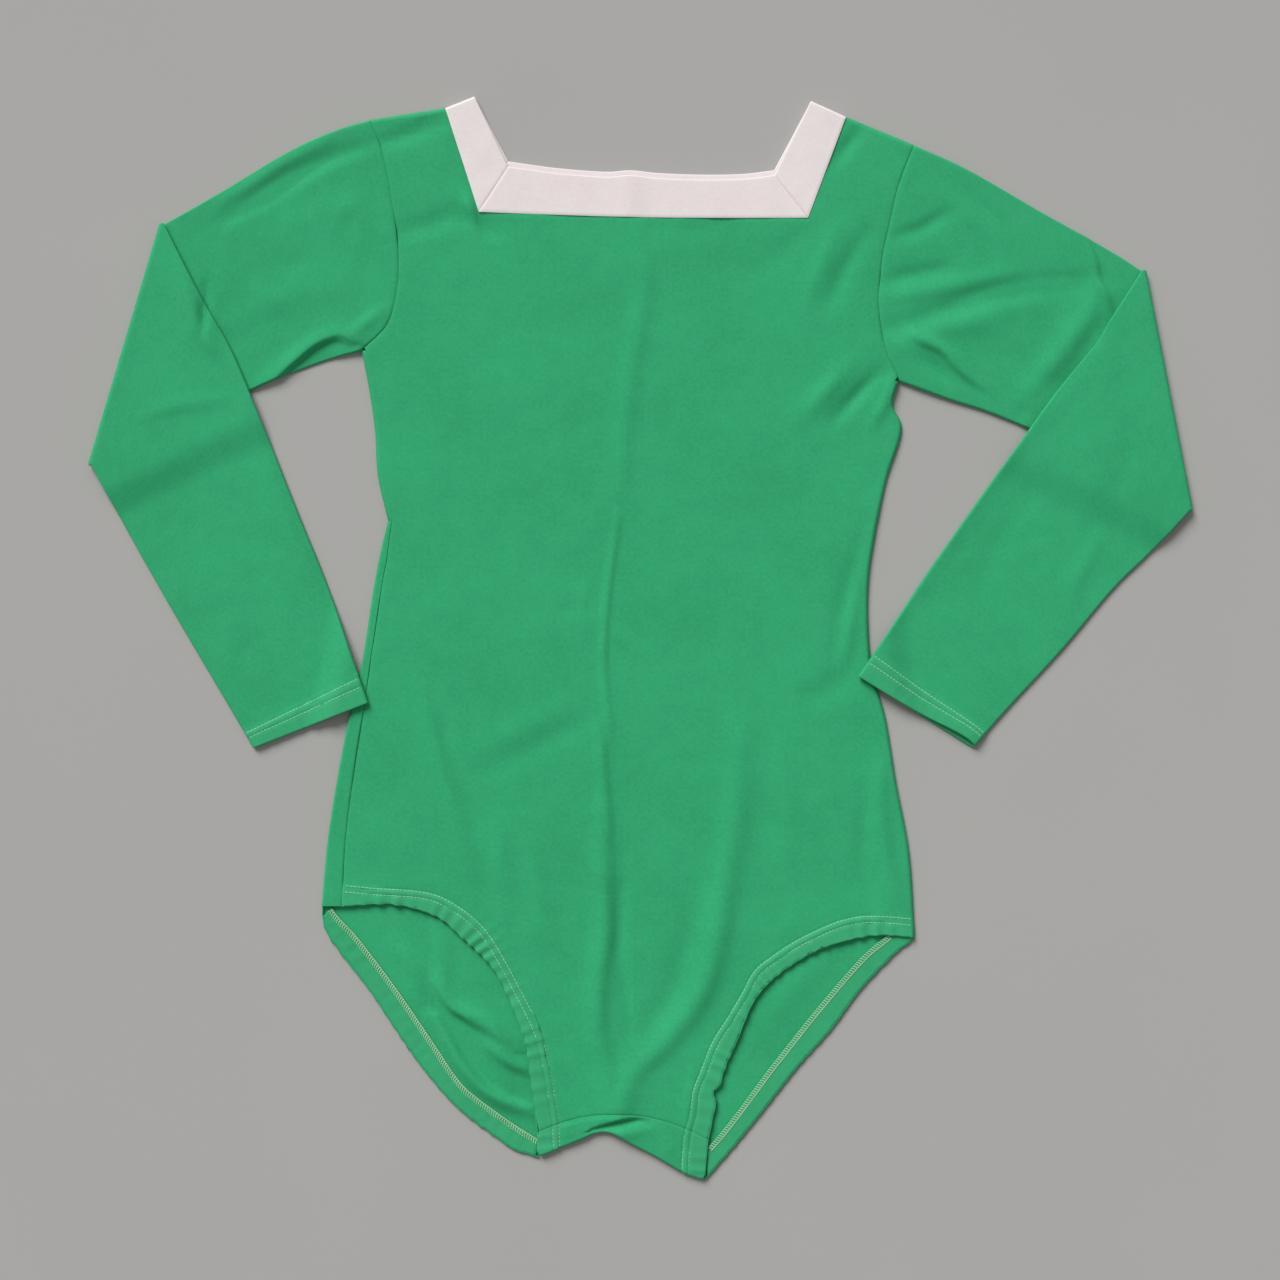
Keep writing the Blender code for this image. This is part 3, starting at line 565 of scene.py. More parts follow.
def roll_profile():
    """Distances in from a rolled edge, with the share of the full height at each: a quarter round."""
    angles = np.linspace(0, math.pi / 2, ROLL_STEPS + 1)
    return ROLL_WIDTH * (1 - np.cos(angles)), np.sin(angles)


def outward_normals(edge, outward):
    """Unit vectors in plan at right angles to an edge. outward is 1 to the left of its direction."""
    run = np.gradient(edge, axis=0)
    normal = outward * np.stack([-run[:, 1], run[:, 0]], axis=1)
    return normal / np.linalg.norm(normal, axis=1, keepdims=True)


def turned_edge(edge, height, outward, direction):
    """Columns of a hem's turned edge, from its hidden side round to the panel. direction is 1 where it
    turns down and -1 where it turns up."""
    normal = outward_normals(edge, outward)
    columns = []
    for angle in TURN_ANGLES:
        out = HEM_TURN * (math.sin(angle) - 1)
        level = height - direction * HEM_TURN * (1 - math.cos(angle))
        columns.append(np.column_stack([edge + normal * out, level]))
    return np.stack(columns, axis=1)


def in_scene(name, data):
    made = bpy.data.objects.new(name, data)
    bpy.context.scene.collection.objects.link(made)
    return made


def cloth_piece(name, grid, wall, material, used=None, tube=False, knit=None, hem_tint=0.0):
    """A wall of cloth on a grid of middle-surface points. used marks the cells that are cloth.
    knit gives the place of each point in the flat cloth, which the knitted pattern follows.
    The last argument is 1 where the cloth takes the lighter colour of the hems."""
    rows, columns = grid.shape[:2]
    if used is None:
        used = np.ones((rows - 1, columns if tube else columns - 1), bool)
    if knit is None:
        knit = grid[:, :, :2]
    row, column = np.nonzero(used)
    beyond = (column + 1) % columns
    corners = ((row, column), (row, beyond), (row + 1, beyond), (row + 1, column))
    spots = np.stack([r * columns + c for r, c in corners], axis=1)
    kept, faces = np.unique(spots, return_inverse=True)
    mesh = bpy.data.meshes.new(name)
    mesh.from_pydata((grid.reshape(-1, 3)[kept] * METRES).tolist(), [], faces.reshape(-1, 4).tolist())
    # Where a tube closes, its places in the flat cloth have a column of their own
    corners = ((row, column), (row, column + 1), (row + 1, column + 1), (row + 1, column))
    spots = np.stack([r * knit.shape[1] + c for r, c in corners], axis=1).ravel()
    places = (knit.reshape(-1, 2)[spots] * METRES).astype(np.float32)
    mesh.uv_layers.new(name="knit").data.foreach_set("uv", places.ravel())
    tinted = np.broadcast_to(hem_tint, (rows, columns)).ravel()[kept].astype(np.float32)
    mesh.attributes.new("hem_tint", "FLOAT", "POINT").data.foreach_set("value", tinted)
    mesh.materials.append(material)
    mesh.shade_smooth()
    piece = in_scene(name, mesh)
    solid = piece.modifiers.new("wall", "SOLIDIFY")
    solid.thickness = wall * METRES
    solid.offset = 0.0
    # Keeps the wall's cut edges from shading the surface beside them
    piece.modifiers.new("rim_normals", "WEIGHTED_NORMAL").weight = 96
    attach(piece, "root")
    return piece


def scallop(plan, side, along, notch=0.0):
    """Pushes the ends of rows in and out in plan, with the gathers at these lengths along the hem."""
    edge = plan[:, side].copy()
    reached = lengths_along(edge)
    push = (SCALLOP[side] * puckers(along) + notch) * ease(reached / 14) * ease((reached[-1] - reached) / 10)
    away = np.linalg.norm(plan - edge[:, None], axis=2)
    push = outward_normals(edge, OUTWARD[side]) * push[:, None]
    plan += push[:, None] * bell(away, 5.0)[..., None]


def make_front(material):
    """The front. Its shoulders and sides roll down to the table and its leg edges turn under."""
    distances, shares = roll_profile()
    roll_in = CLOTH / 2 + ROLL_WIDTH
    columns = column_shares(SHOULDER_COLUMNS, MIDDLE_COLUMNS)
    upper, neck_row = upper_rows(distances, BODY_STEPS, 0.0, columns)
    upper = upper[:-1]
    sides = [body_row(row, columns, roll_in, roll_in) for row in spline(UPPER_SIDE_ROWS, BODY_STEPS)]
    waist = len(upper) + len(sides) - 1
    for row in spline(LOWER_SIDE_ROWS, BODY_STEPS)[1:]:
        sides.append(body_row(row, columns, strip_inset(row[1]) + SEAM, roll_in))
    legs = [body_row(row, columns) for row in spline(FRONT_LEG_ROWS, LEG_STEPS)[1:]]
    underarm, corner = len(upper), len(upper) + len(sides) - 1
    plan = np.array([*upper, *sides, *legs])
    plain_edges = [plan[corner:, side].copy() for side in (0, -1)]
    for side, edge in zip((0, -1), plain_edges):
        _, along = beside(spline(CASING_ROWS[side], 4), *edge.T)
        depth, at_y, half_length = CASING_NOTCH
        notch = depth * bell(edge[:, 1] - at_y, half_length) * (side == -1)
        scallop(plan[corner:], side, along, notch)
    height = front_height(*in_plan(plan))
    armholes = [spline(ARMHOLE_ROWS, BODY_STEPS)[:, 2 * side : 2 * side + 2] for side in (0, 1)]
    for seam, depth, width in ((armholes[0], 0.3, 1.6), (armholes[1], 0.3, 1.6), (plan[-1], 0.06, 1.2)):
        height += dip(beside(seam, *in_plan(plan))[0], depth, width)
    height += dip(beside(plan[waist : corner + 1, 0], *in_plan(plan))[0], 0.2, 1.6)
    for k in range(ROLL_STEPS):
        height[k] = ROLL_END + (height[k] - ROLL_END) * shares[k]
    flat = np.dstack([plan, height])
    rolls = []
    for side, outward in ((0, -1), (-1, 1)):
        edge, level = plan[:, side], height[:, side]
        roll = []
        for k in range(ROLL_STEPS):
            x = edge[:, 0] + outward * (ROLL_WIDTH - distances[k])
            roll.append(np.column_stack([x, edge[:, 1], ROLL_END + (level - ROLL_END) * shares[k]]))
        roll = np.stack(roll, axis=1)
        turned = turned_edge(edge[corner:], level[corner:], outward, 1)
        roll[corner + (side == -1) :] = turned[(side == -1) :]
        rolls.append(roll)
    for side in (0, -1):
        edge = flat[corner + 1 :, side, :2]
        edge -= HEM_TURN * outward_normals(plan[corner:, side], OUTWARD[side])[1:]
    grid = np.concatenate([rolls[0], flat, rolls[1][:, ::-1]], axis=1)
    used = np.ones((grid.shape[0] - 1, grid.shape[1] - 1), bool)
    first = ROLL_STEPS + SHOULDER_COLUMNS
    used[:neck_row, first : first + MIDDLE_COLUMNS] = False
    used[:underarm, :ROLL_STEPS] = False
    used[:underarm, -ROLL_STEPS:] = False
    used[waist:corner, :ROLL_STEPS] = False
    tinted = in_casing(*in_plan(grid))
    tinted[: corner - 2 * BODY_STEPS] = 0
    piece = cloth_piece("front_panel", grid, CLOTH, material, used, hem_tint=tinted)
    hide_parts("front")
    edges = [(plan[corner:, side], rolls[side][corner:, 0, 2], plain_edges[side]) for side in (0, -1)]
    return piece, edges, grid[-1]


def curl_points(row, outline_x, seam_inset, height):
    """The strip at the left edge of the back, from its seam on the front round to the table."""
    centre = outline_x + CURL + CLOTH / 2
    seam = outline_x + seam_inset
    y = row[0, 1]
    points = [(seam + (centre - seam) * t, y, height) for t in np.linspace(0, 1, 7)]
    for angle in np.radians(np.arange(15, 180, 15)):
        level = BACK_LEVEL + (height - BACK_LEVEL) * (1 + math.cos(angle)) / 2
        points.append((centre - CURL * math.sin(angle), y, level))
    return np.array(points)


def crotch_fold_at(x):
    xs, ys, lifts = spline(CROTCH_FOLD, 6).T
    return np.interp(x, xs, ys), np.interp(x, xs, lifts)


def under_depth(x):
    share = (x - CROTCH_FOLD[0][0]) / (CROTCH_FOLD[-1][0] - CROTCH_FOLD[0][0])
    return UNDER_DEPTH[0] + (UNDER_DEPTH[1] - UNDER_DEPTH[0]) * (1 - (2 * share - 1) ** 4)


def back_seam_row(shares):
    """The back's lowest row, which meets the crotch piece under the garment."""
    row = TOES[0] + np.outer(shares, np.subtract(TOES[1], TOES[0]))
    inner = row[1:-1, 0]
    row[1:-1, 1] = crotch_fold_at(inner)[0] + CURL + CLOTH / 2 + under_depth(inner) + SEAM
    return row


def back_height(x, y):
    """The back's creases, which stay low where the front lies over them."""
    clear = np.full(np.shape(x), -np.inf)
    for side in (0, 1):
        line = spline(np.array(FRONT_LEG_ROWS)[:, 2 * side : 2 * side + 2], 3)
        clear = np.maximum(clear, OUTWARD[side] * beside(line, x, y)[0])
    low, high = BACK_FOLDS
    most = high + (low - high) * fall(clear, BACK_FOLDS_RISE)
    relief = creases(UNDERSIDE_CREASES, x, y) + creases(BACK_CREASES, x, y)
    return BACK_LEVEL + np.minimum(relief, most)


def make_back(material):
    """The back, flat on the table. Below the waist its left edge turns up and lies on the front."""
    across = (BACK_SHOULDER_COLUMNS, BACK_MIDDLE_COLUMNS)
    columns = column_shares(*across)
    upper, neck_row = upper_rows([BACK_INSET], BACK_STEPS, BACK_NECK_RISE, columns)
    upper = upper[:-1]
    lower = spline(LOWER_SIDE_ROWS, BACK_STEPS)
    curl_in = CURL + CLOTH / 2
    sides = [body_row(row, columns, BACK_INSET, BACK_INSET) for row in spline(UPPER_SIDE_ROWS, BACK_STEPS)]
    waist = len(upper) + len(sides)
    step_down = lower[0] + (lower[1] - lower[0]) * SEAM / (lower[0, 1] - lower[1, 1])
    strip = [step_down, *lower[1:]]
    sides += [body_row(row, columns, curl_in, BACK_INSET) for row in strip]
    corner = len(upper) + len(sides) - 1
    legs = [body_row(row, columns) for row in spline(BACK_LEG_ROWS, BACK_LEG_STEPS)[1:]]
    toes = [legs[-1] + (back_seam_row(columns) - legs[-1]) * t for t in np.linspace(0, 1, TOE_ROWS + 1)[1:]]
    plan = np.array([*upper, *sides, *legs, *toes])
    for side in (0, -1):
        scallop(plan[corner:], side, lengths_along(plan[corner:, side]))
    height = back_height(*in_plan(plan))
    flat = np.dstack([plan, height])
    curls = np.zeros((len(flat), len(curl_points(plan[0], 0.0, 0.0, 0.0)), 3))
    for k, row in enumerate(strip):
        level = FRONT_LEVEL + 0.2 + 0.12 * math.sin(row[1] / 17.0)
        curls[waist + k] = curl_points(plan[waist + k], row[0], strip_inset(row[1]), level)
    first = curls.shape[1]
    sides_turned = []
    for side, outward in ((0, -1), (-1, 1)):
        edge = plan[corner:, side]
        turned = np.zeros((len(flat), ROLL_STEPS, 3))
        turned[corner:] = turned_edge(edge, height[corner:, side], outward, -1)
        flat[corner + 1 :, side, :2] = (edge - HEM_TURN * outward_normals(edge, outward))[1:]
        sides_turned.append(turned)
    curl = curls[corner, -ROLL_STEPS:] - flat[corner, 0] + (curl_in, 0, 0)
    curls[corner + 1 :, -ROLL_STEPS:] = sides_turned[0][corner + 1 :]
    for k in range(1, CURL_END_ROWS):
        share, row = ease(k / CURL_END_ROWS), corner + k
        outline = np.array([*plan[row, 0], height[row, 0]])
        curls[row, -ROLL_STEPS:] += (1 - share) * (outline + curl - curls[row, -ROLL_STEPS:])
        flat[row, 0] += (1 - share) * (outline + (curl_in, 0, 0) - flat[row, 0])
    grid = np.concatenate([curls, flat, sides_turned[1][:, ::-1]], axis=1)
    used = np.ones((grid.shape[0] - 1, grid.shape[1] - 1), bool)
    used[:neck_row, first + across[0] : first + sum(across)] = False
    used[:waist, :first] = False
    used[corner:, :first] = False
    used[corner:, first - ROLL_STEPS : first] = True
    used[:corner, -ROLL_STEPS:] = False
    piece = cloth_piece("back_panel", grid, CLOTH, material, used)
    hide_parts("back")
    edges = [(plan[corner:, side], turned[corner:, 0, 2]) for side, turned in zip((0, -1), sides_turned)]
    return piece, edges


def make_gusset(front_seam, material):
    """The crotch piece: from the front's seam down to the fold and back up under the garment."""
    tight = lambda x: SEAM * (0.1 + 0.9 * ease((x + 45) / 40))  # the seam's gap, least at its left end
    columns = []
    shares = column_shares(SHOULDER_COLUMNS, MIDDLE_COLUMNS)
    ends = CROTCH_FOLD[0][0] + HEM_TURN, CROTCH_FOLD[-1][0] - HEM_TURN
    for top, x in zip(front_seam[ROLL_STEPS:-ROLL_STEPS], ends[0] + (ends[1] - ends[0]) * shares):
        fold_y, lift = crotch_fold_at(x)
        within = min(x - ends[0], ends[1] - x, TOE_ROUND) / TOE_ROUND
        rounding = TOE_ROUND * (1 - math.sqrt(1 - (1 - within) ** 2))
        low = BACK_LEVEL + lift
        radius = (FRONT_LEVEL - low) / 2
        centre = fold_y + rounding + radius + CLOTH / 2
        end = fold_y + CURL + CLOTH / 2 + under_depth(x)
        t = np.linspace(0, 1, GUSSET_ROWS)
        xs, ys = top[0] + (x - top[0]) * t, (top[1] - tight(top[0])) * (1 - t) + centre * t
        free = front_height(xs, ys) + creases(GUSSET_CREASES, xs, ys) + lift / 2
        zs = top[2] + (free - top[2]) * ease((top[1] - ys) / 4)
        column = list(zip(xs, ys, zs))
        high = max(zs[-1], low + 2 * HEM_TURN + 0.1)
        for angle in np.radians(np.linspace(0, 180, 11))[1:]:
            bend = (high - low) / 2
            column.append((x, centre - bend * math.sin(angle), low + bend * (1 + math.cos(angle))))
        for t in np.linspace(0, 1, 5)[1:]:
            column.append((x, centre + (end - centre) * t, low + (BACK_LEVEL - low) * ease(t)))
        columns.append(column)
    grid = np.array(columns).transpose(1, 0, 2)
    hems = []
    for edge, sign in ((grid[:, 0], 1), (grid[:, -1], -1)):
        out = np.array([-sign, 0.0, 0.0])
        up = sign * np.cross(out, np.gradient(edge, axis=0))
        up /= np.linalg.norm(up, axis=1, keepdims=True)
        turned = [edge + HEM_TURN * (out * math.sin(a) - up * (1 - math.cos(a))) for a in TURN_ANGLES]
        hems.append(np.stack(turned, axis=1))
    grid = np.concatenate([hems[0], grid, hems[1][:, ::-1]], axis=1)
    start = front_seam.copy()
    start[:, 1] -= tight(start[:, 0])
    for row, share in enumerate((1.0, 0.8, 0.5, 0.2)):
        for part in (slice(0, ROLL_STEPS), slice(-ROLL_STEPS, None)):
            edge = ROLL_STEPS if part.start == 0 else -ROLL_STEPS - 1
            grid[row, part] += share * (grid[row, edge] + start[part] - start[edge] - grid[row, part])
    tinted = in_casing(*in_plan(grid))
    piece = cloth_piece("crotch_gusset", grid, CLOTH, material, hem_tint=tinted)
    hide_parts("gusset")
    return piece


def make_strip(name, first, second, height, material):
    """A hem's turned-in allowance, a strip between two lines of points, with gathers across it."""
    grid = np.stack([first * (1 - t) + second * t for t in np.linspace(0, 1, HEM_ROWS)])
    away, along = beside(first[:, :2], *in_plan(grid))
    depth = np.abs(away)
    gathers = height * puckers(along) * (0.7 + 0.5 * unevenness(*in_plan(grid), 19, 61))
    grid[..., 2] += gathers * np.sin(math.pi * np.clip(0.1 + 0.8 * depth / HEM_WIDTH, 0, 1))
    knit = np.dstack([along, depth])
    piece = cloth_piece(name, grid, CLOTH, material, knit=knit, hem_tint=0.6)
    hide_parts(name.replace("casing", "hem"))
    return piece


def make_leg_hems(front_edges, back_edges, material):
    """The turned-in strips, the left leg's front and back and then the right leg's."""
    made = []
    for side, (word, outward) in enumerate(zip(WORDS, OUTWARD)):
        edge, level, plain = front_edges[side]
        first = np.column_stack([edge - HEM_TURN * outward_normals(edge, outward), level])[6:-1]
        inner = np.column_stack([offset_line(plain, -outward * HEM_WIDTH), level])[6:-1]
        made.append(make_strip(f"leg_casing_{word}_front", first, inner, 0.2, material))
        edge, level = back_edges[side]
        part = slice(BACK_HEM_START[side], -1)
        first = np.column_stack([edge - HEM_TURN * outward_normals(edge, outward), level])[part]
        line = offset_line(spline(SERGED_EDGES[side], 8), -outward * PAST_SERGING)
        line = at_shares(line, np.linspace(0, 1, len(first)))
        level = np.maximum(back_height(*line.T) + CLOTH + 0.15, BACK_LEVEL + 2 * HEM_TURN)
        inner = np.column_stack([line, level])
        made.append(make_strip(f"leg_casing_{word}_back", first, inner, 0.32, material))
    return made


def folded_ring(a, b, normal):
    """A folded band's section: one layer from its outer edge a in to the fold at b, round it and back out.
    normal points from its middle to the layer that shows."""
    run = (b - a) / np.linalg.norm(b - a)
    fold = b - run * BAND_OUTSIDE
    ring = [a + (fold - a) * t + normal * BAND_HALF for t in np.linspace(0, 1, 13)]
    for angle in np.radians((30, 60, 90, 120, 150)):
        ring.append(fold + (run * math.sin(angle) + normal * math.cos(angle)) * BAND_HALF)
    return ring + [fold + (a - fold) * t - normal * BAND_HALF for t in np.linspace(0, 1, 7)]


def band_piece(name, rings, material):
    piece = cloth_piece(name, rings, BAND, material)
    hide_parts(name.replace("neck_band", "neckband"))
    return piece


def make_cross_band(name, rise, level, ripple, material):
    """The band across the front or the back of the neck, folded double and mitred at both ends."""
    count = 91
    shares = np.linspace(0, 1, count)
    left, right = MITRES
    corners = np.array(NECK_OUTER) + ((2 * left, SEAM), (-2 * right, SEAM))
    outer = np.linspace(*corners, count)
    outer[:, 1] += rise - BAND_SAG * np.sin(math.pi * shares) * (rise == 0)
    inner = at_shares(spline(BAND_TOP, 8), shares) + (0, rise)
    inner[[0, -1]] += ((left, 0), (-right, 0))
    pairs = zip(*(np.insert(line, 2, level, axis=1) for line in (outer, inner)))
    rings = np.array([folded_ring(a, b, np.array([0.0, 0.0, 1.0])) for a, b in pairs])
    x, y = in_plan(rings)
    waves = 0.5 * unevenness(x, y * 0.35, 16, 21) + 0.9 * bell(x + 8, 7) - 0.6 * bell(x - 6, 9)
    rings[..., 2] += ripple * waves
    return band_piece(name, rings, material)


def make_strap(name, side, material):
    """The band beside the neck, from the front's mitre over the shoulder to the back's mitre."""
    high, low = FRONT_LEVEL, BAND_OUTSIDE
    radius = (high - low) / 2
    inward = -OUTWARD[side]
    outer_corner = np.array(NECK_OUTER[side]) + (inward * SEAM / 2, 2 * SEAM)
    inner_corner = np.array(NECK_INNER[side]) - (inward * SEAM / 2, 0)
    outer_shoulder = np.array(SHOULDER_OUTER[side]) + (inward * SEAM, 0)
    inner_shoulder = np.array(SHOULDER_INNER[side], float)
    reach = radius + BAND_OUTSIDE
    edges = []  # of each point: its place, and the z, x and y of the normal there
    for corner, shoulder in ((outer_corner, outer_shoulder), (inner_corner, inner_shoulder)):
        run = (shoulder - corner) / np.linalg.norm(shoulder - corner)
        centre = shoulder - run * reach
        column = [(*(corner + (centre - corner) * t), high, 1.0, 0, 0) for t in np.linspace(0, 1, 25)]
        for angle in np.radians(np.arange(15, 180, 15)):
            place = centre + run * radius * math.sin(angle)
            level = low + radius * (1 + math.cos(angle))
            column.append((*place, level, math.cos(angle), *(run * math.sin(angle))))
        back_corner = corner + (0, BACK_NECK_RISE)
        column += [(*(centre + (back_corner - centre) * t), low, -1.0, 0, 0) for t in np.linspace(0, 1, 25)]
        edges.append(np.array(column))
    rings = np.array([folded_ring(a[:3], b[:3], a[[4, 5, 3]]) for a, b in zip(*edges)])
    rings[..., 2] += 0.2 * unevenness(*in_plan(rings), 14, 30 + side) * (rings[..., 2] > 2.5)
    return band_piece(name, rings, material)


def body_side(side):
    """The body's outline below the underarm: y in rising order, and x."""
    table = np.array((*UPPER_SIDE_ROWS, *LOWER_SIDE_ROWS[1:]), float)
    outline = table[:, 2 * side : 2 * side + 2][::-1]
    return outline[:, 1], outline[:, 0]


def forearm_level(under, side, x, y):
    """Height of the forearm's middle: over the upper arm, down on the table or up on the body."""
    past_arm = np.interp(x, *under[np.argsort(under[:, 0])].T) - y
    from_body = OUTWARD[side] * (x - np.interp(y, *body_side(side)))
    on_arm = (FOREARM_LEVEL - SLEEVE_LEVEL) * fall(past_arm, LEAVE_ARM)
    on_body = (CUFF_LEVEL - SLEEVE_LEVEL) * fall(from_body, MEET_BODY)
    return SLEEVE_LEVEL + np.maximum(on_arm, on_body)


def sleeve_ring(plan, level, up, spread, lift, low_lift, drawn=(0.0, 0.0)):
    """A flattened ring: along one layer, round the edge and back along the other, which up faces from.
    drawn moves the layer that shows in plan."""
    middle = np.column_stack([plan, np.broadcast_to(level, len(plan))])
    spread = np.broadcast_to(spread, len(plan))
    near, far = middle + up * spread[:, None], middle - up * spread[:, None]
    for layer, shown in ((near, up[2] > 0), (far, up[2] <= 0)):
        layer[:, 2] += lift if shown else low_lift
        layer[:, :2] += drawn if shown else 0.0
    edges = []
    for end, beside_end, start, stop in ((-1, -2, near, far), (0, 1, far, near)):
        out = middle[end] - middle[beside_end]
        out /= np.linalg.norm(out)
        centre = (start[end] + stop[end]) / 2
        arm = (start[end] - stop[end]) / 2
        reach = np.linalg.norm(arm)
        turn = np.radians(np.linspace(0, 180, EDGE_STEPS + 2)[1:-1])
        edges.append([centre + arm * math.cos(a) + out * spread[end] * math.sin(a) for a in turn])
    return np.vstack([near, edges[0], far[::-1], edges[1]])


def knit_of_tube(rings):
    """Each point's place in the flat cloth of a sleeve: the way round it and the way along it."""
    around = np.array([lengths_along(np.vstack([ring, ring[:1]])) for ring in rings])
    along = lengths_along(rings.mean(axis=1))
    return np.dstack([around, np.broadcast_to(along[:, None], around.shape)])


def make_sleeve(side, material):
    """A flat tube from the armhole out to the elbow, folded over there and running back to the cuff."""
    word, outward = WORDS[side], OUTWARD[side]
    outlines, table = SLEEVES[word], SLEEVE_CREASES[word]
    armhole = offset_line(spline(ARMHOLE_ROWS, SLEEVE_STEPS)[:, 2 * side : 2 * side + 2], outward * SEAM)
    over, under = spline(outlines["over"], 12), spline(outlines["under"], 12)
    inner, outer = spline(outlines["inner"], 16), spline(outlines["outer"], 16)
    elbow = np.array([over[-1], under[-1]])
    over[0], under[0] = armhole[0], armhole[-1]
    run = (elbow[1] - elbow[0]) / np.linalg.norm(elbow[1] - elbow[0])
    out = -outward * np.array([run[1], -run[0]])
    armhole_shares = lengths_along(armhole) / lengths_along(armhole)[-1]

    def shares_within(line, spread):
        """The armhole's own shares, moved in at both ends by the tube's rounded edges."""
        inset = (spread + CLOTH / 2) / lengths_along(line)[-1]
        return inset + armhole_shares * (1 - 2 * inset)

    def across(start, end, shares):
        return np.outer(1 - shares, start) + np.outer(shares, end)

    def relief(plan, seed):
        return creases(table, *plan.T) + lumps(*plan.T, seed)

    def pressed_down(plan, top):
        """How far the left sleeve's upper layer lies below its level where it is drawn back."""
        if word == "right":
            return 0.0
        line = spline(DRAWN_BACK, 6)
        away, along = beside(line, *plan.T)
        share = along / lengths_along(line)[-1]
        past = ease(-away / 2.4)
        return -(top - PRESSED) * past * np.sin(math.pi * np.clip(share, 0, 1)) ** 0.6

    rings = []
    for s in np.linspace(0, 1, UPPER_ARM_RINGS + 1):
        spread = SPREAD + (CURL - SPREAD) * (1 - ease(2 * s))
        shares = shares_within(armhole, spread)
        bow = at_shares(armhole, shares) - across(armhole[0], armhole[-1], shares)
        ends = point_at(over, s), point_at(under, s)
        plan = across(*ends, shares) + (1 - s) * bow - out * ELBOW_INSET * s
        clear = -outward * (plan[:, 0] - np.interp(plan[:, 1], *inner[::-1, ::-1].T))
        bare = ease(clear / BARE_ARM)
        low = creases(SLEEVE_UNDERSIDE[word], *plan.T) * bare
        folds = relief(plan, 40 + side)
        lift = np.minimum(folds, 0) + np.maximum(folds, 0) * bare + low
        lift += dip(np.linalg.norm(plan - at_shares(armhole, shares), axis=1), 0.3, 1.6)
        top = BACK_LEVEL + 2 * spread
        lift = np.maximum(lift + pressed_down(plan, top), PRESSED - top)
        rings.append(sleeve_ring(plan, spread + BACK_LEVEL, np.array([0, 0, 1.0]), spread, lift, low))

    axis = across(*elbow, shares_within(elbow, SPREAD)) - out * ELBOW_INSET
    for angle in np.radians(np.linspace(0, 180, ELBOW_RINGS + 1)[1:]):
        plan = axis + out * ELBOW_RADIUS * math.sin(angle)
        level = SLEEVE_LEVEL + ELBOW_RADIUS * (1 - math.cos(angle))
        up = np.array([*(-out * math.sin(angle)), math.cos(angle)])
        rings.append(sleeve_ring(plan, level, up, SPREAD, 0.0, 0.0))

    length = (lengths_along(inner)[-1] + lengths_along(outer)[-1]) / 2
    hem_start = 1 - (CUFF_HEM + 4) / length
    steps = np.linspace(0, hem_start, FOREARM_RINGS + 1)[1:]
    steps = np.r_[steps, np.linspace(hem_start, 1, CUFF_RINGS + 1)[1:]]
    down = np.array([0, 0, -1.0])
    opened, raised = CUFF_OPENING[side]

    def forearm(s):
        """What the forearm's ring is made from at this share of its length, and which way the cuff lies."""
        ends = np.array([point_at(inner, s), point_at(outer, s)])
        from_edge = (1 - s) * length
        spread = SPREAD + (CUFF_SPREAD - SPREAD) * ease((CUFF_HEM + 5 - from_edge) / 8)
        shares = shares_within(ends, spread)
        plan = across(*ends, shares) - out * ELBOW_INSET * (1 - s) ** 3
        level = forearm_level(under, side, *plan.T) + spread - SPREAD
        hem = ease((CUFF_HEM + 0.6 - from_edge) / 1.2)
        rows = dip(from_edge - CUFF_ROWS[1], 0.3, 0.9) + dip(from_edge - CUFF_ROWS[0], 0.3, 0.9)
        gathers = puckers(lengths_along(plan) + 3 * side) * (0.4 + 0.8 * bell(shares - 0.5, 0.25))
        band = hem * (0.30 + CUFF_GATHERS[side] * gathers) + rows
        gape = bell(shares - GAPE[0], np.where(shares < GAPE[0], GAPE[1], GAPE[2]))
        gape *= ease((26 - from_edge) / 26)
        toward = across(*(point_at(edge, 1.0) - point_at(edge, 0.97) for edge in (inner, outer)), shares)
        toward /= np.linalg.norm(toward, axis=1, keepdims=True)
        drawn = -opened * toward * gape[:, None]
        lift = relief(plan, 50 + side) * ease(4 * s) + band + raised * gape
        return plan, level, spread, lift, drawn, rows, toward

    for s in steps:
        plan, level, spread, lift, drawn, rows, toward = forearm(s)
        rings.append(sleeve_ring(plan, level, down, spread, lift, -rows, drawn))
    straight = len(rings)
    for angle in np.radians((40, 80, 120, 160, 180)):
        ahead = plan + toward * CUFF_TURN * math.sin(angle)
        inward = CUFF_TURN * (1 - math.cos(angle))
        rings.append(sleeve_ring(ahead, level, down, spread - inward, lift, 0.0, drawn))
    for depth in np.array((0.33, 0.67, 1.0)) * CUFF_INSIDE:
        plan, level, spread, lift, drawn, rows, toward = forearm(1 - depth / length)
        rings.append(sleeve_ring(plan, level, down, spread - 2 * CUFF_TURN, lift, 0.0, drawn))
    rings = np.array(rings)
    hem_share = np.ones(len(rings))
    hem_share[straight - len(steps) : straight] = ease((CUFF_HEM + 0.6 - (1 - steps) * length) / 1.2)
    hem_share[: straight - len(steps)] = 0
    knit = knit_of_tube(rings)
    tinted = 0.6 * hem_share[:, None]
    piece = cloth_piece(
        f"long_sleeve_{word}", rings, CLOTH, material, tube=True, knit=knit, hem_tint=tinted
    )
    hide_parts(f"sleeve_{word}")
    return piece, rings[:straight], steps * length


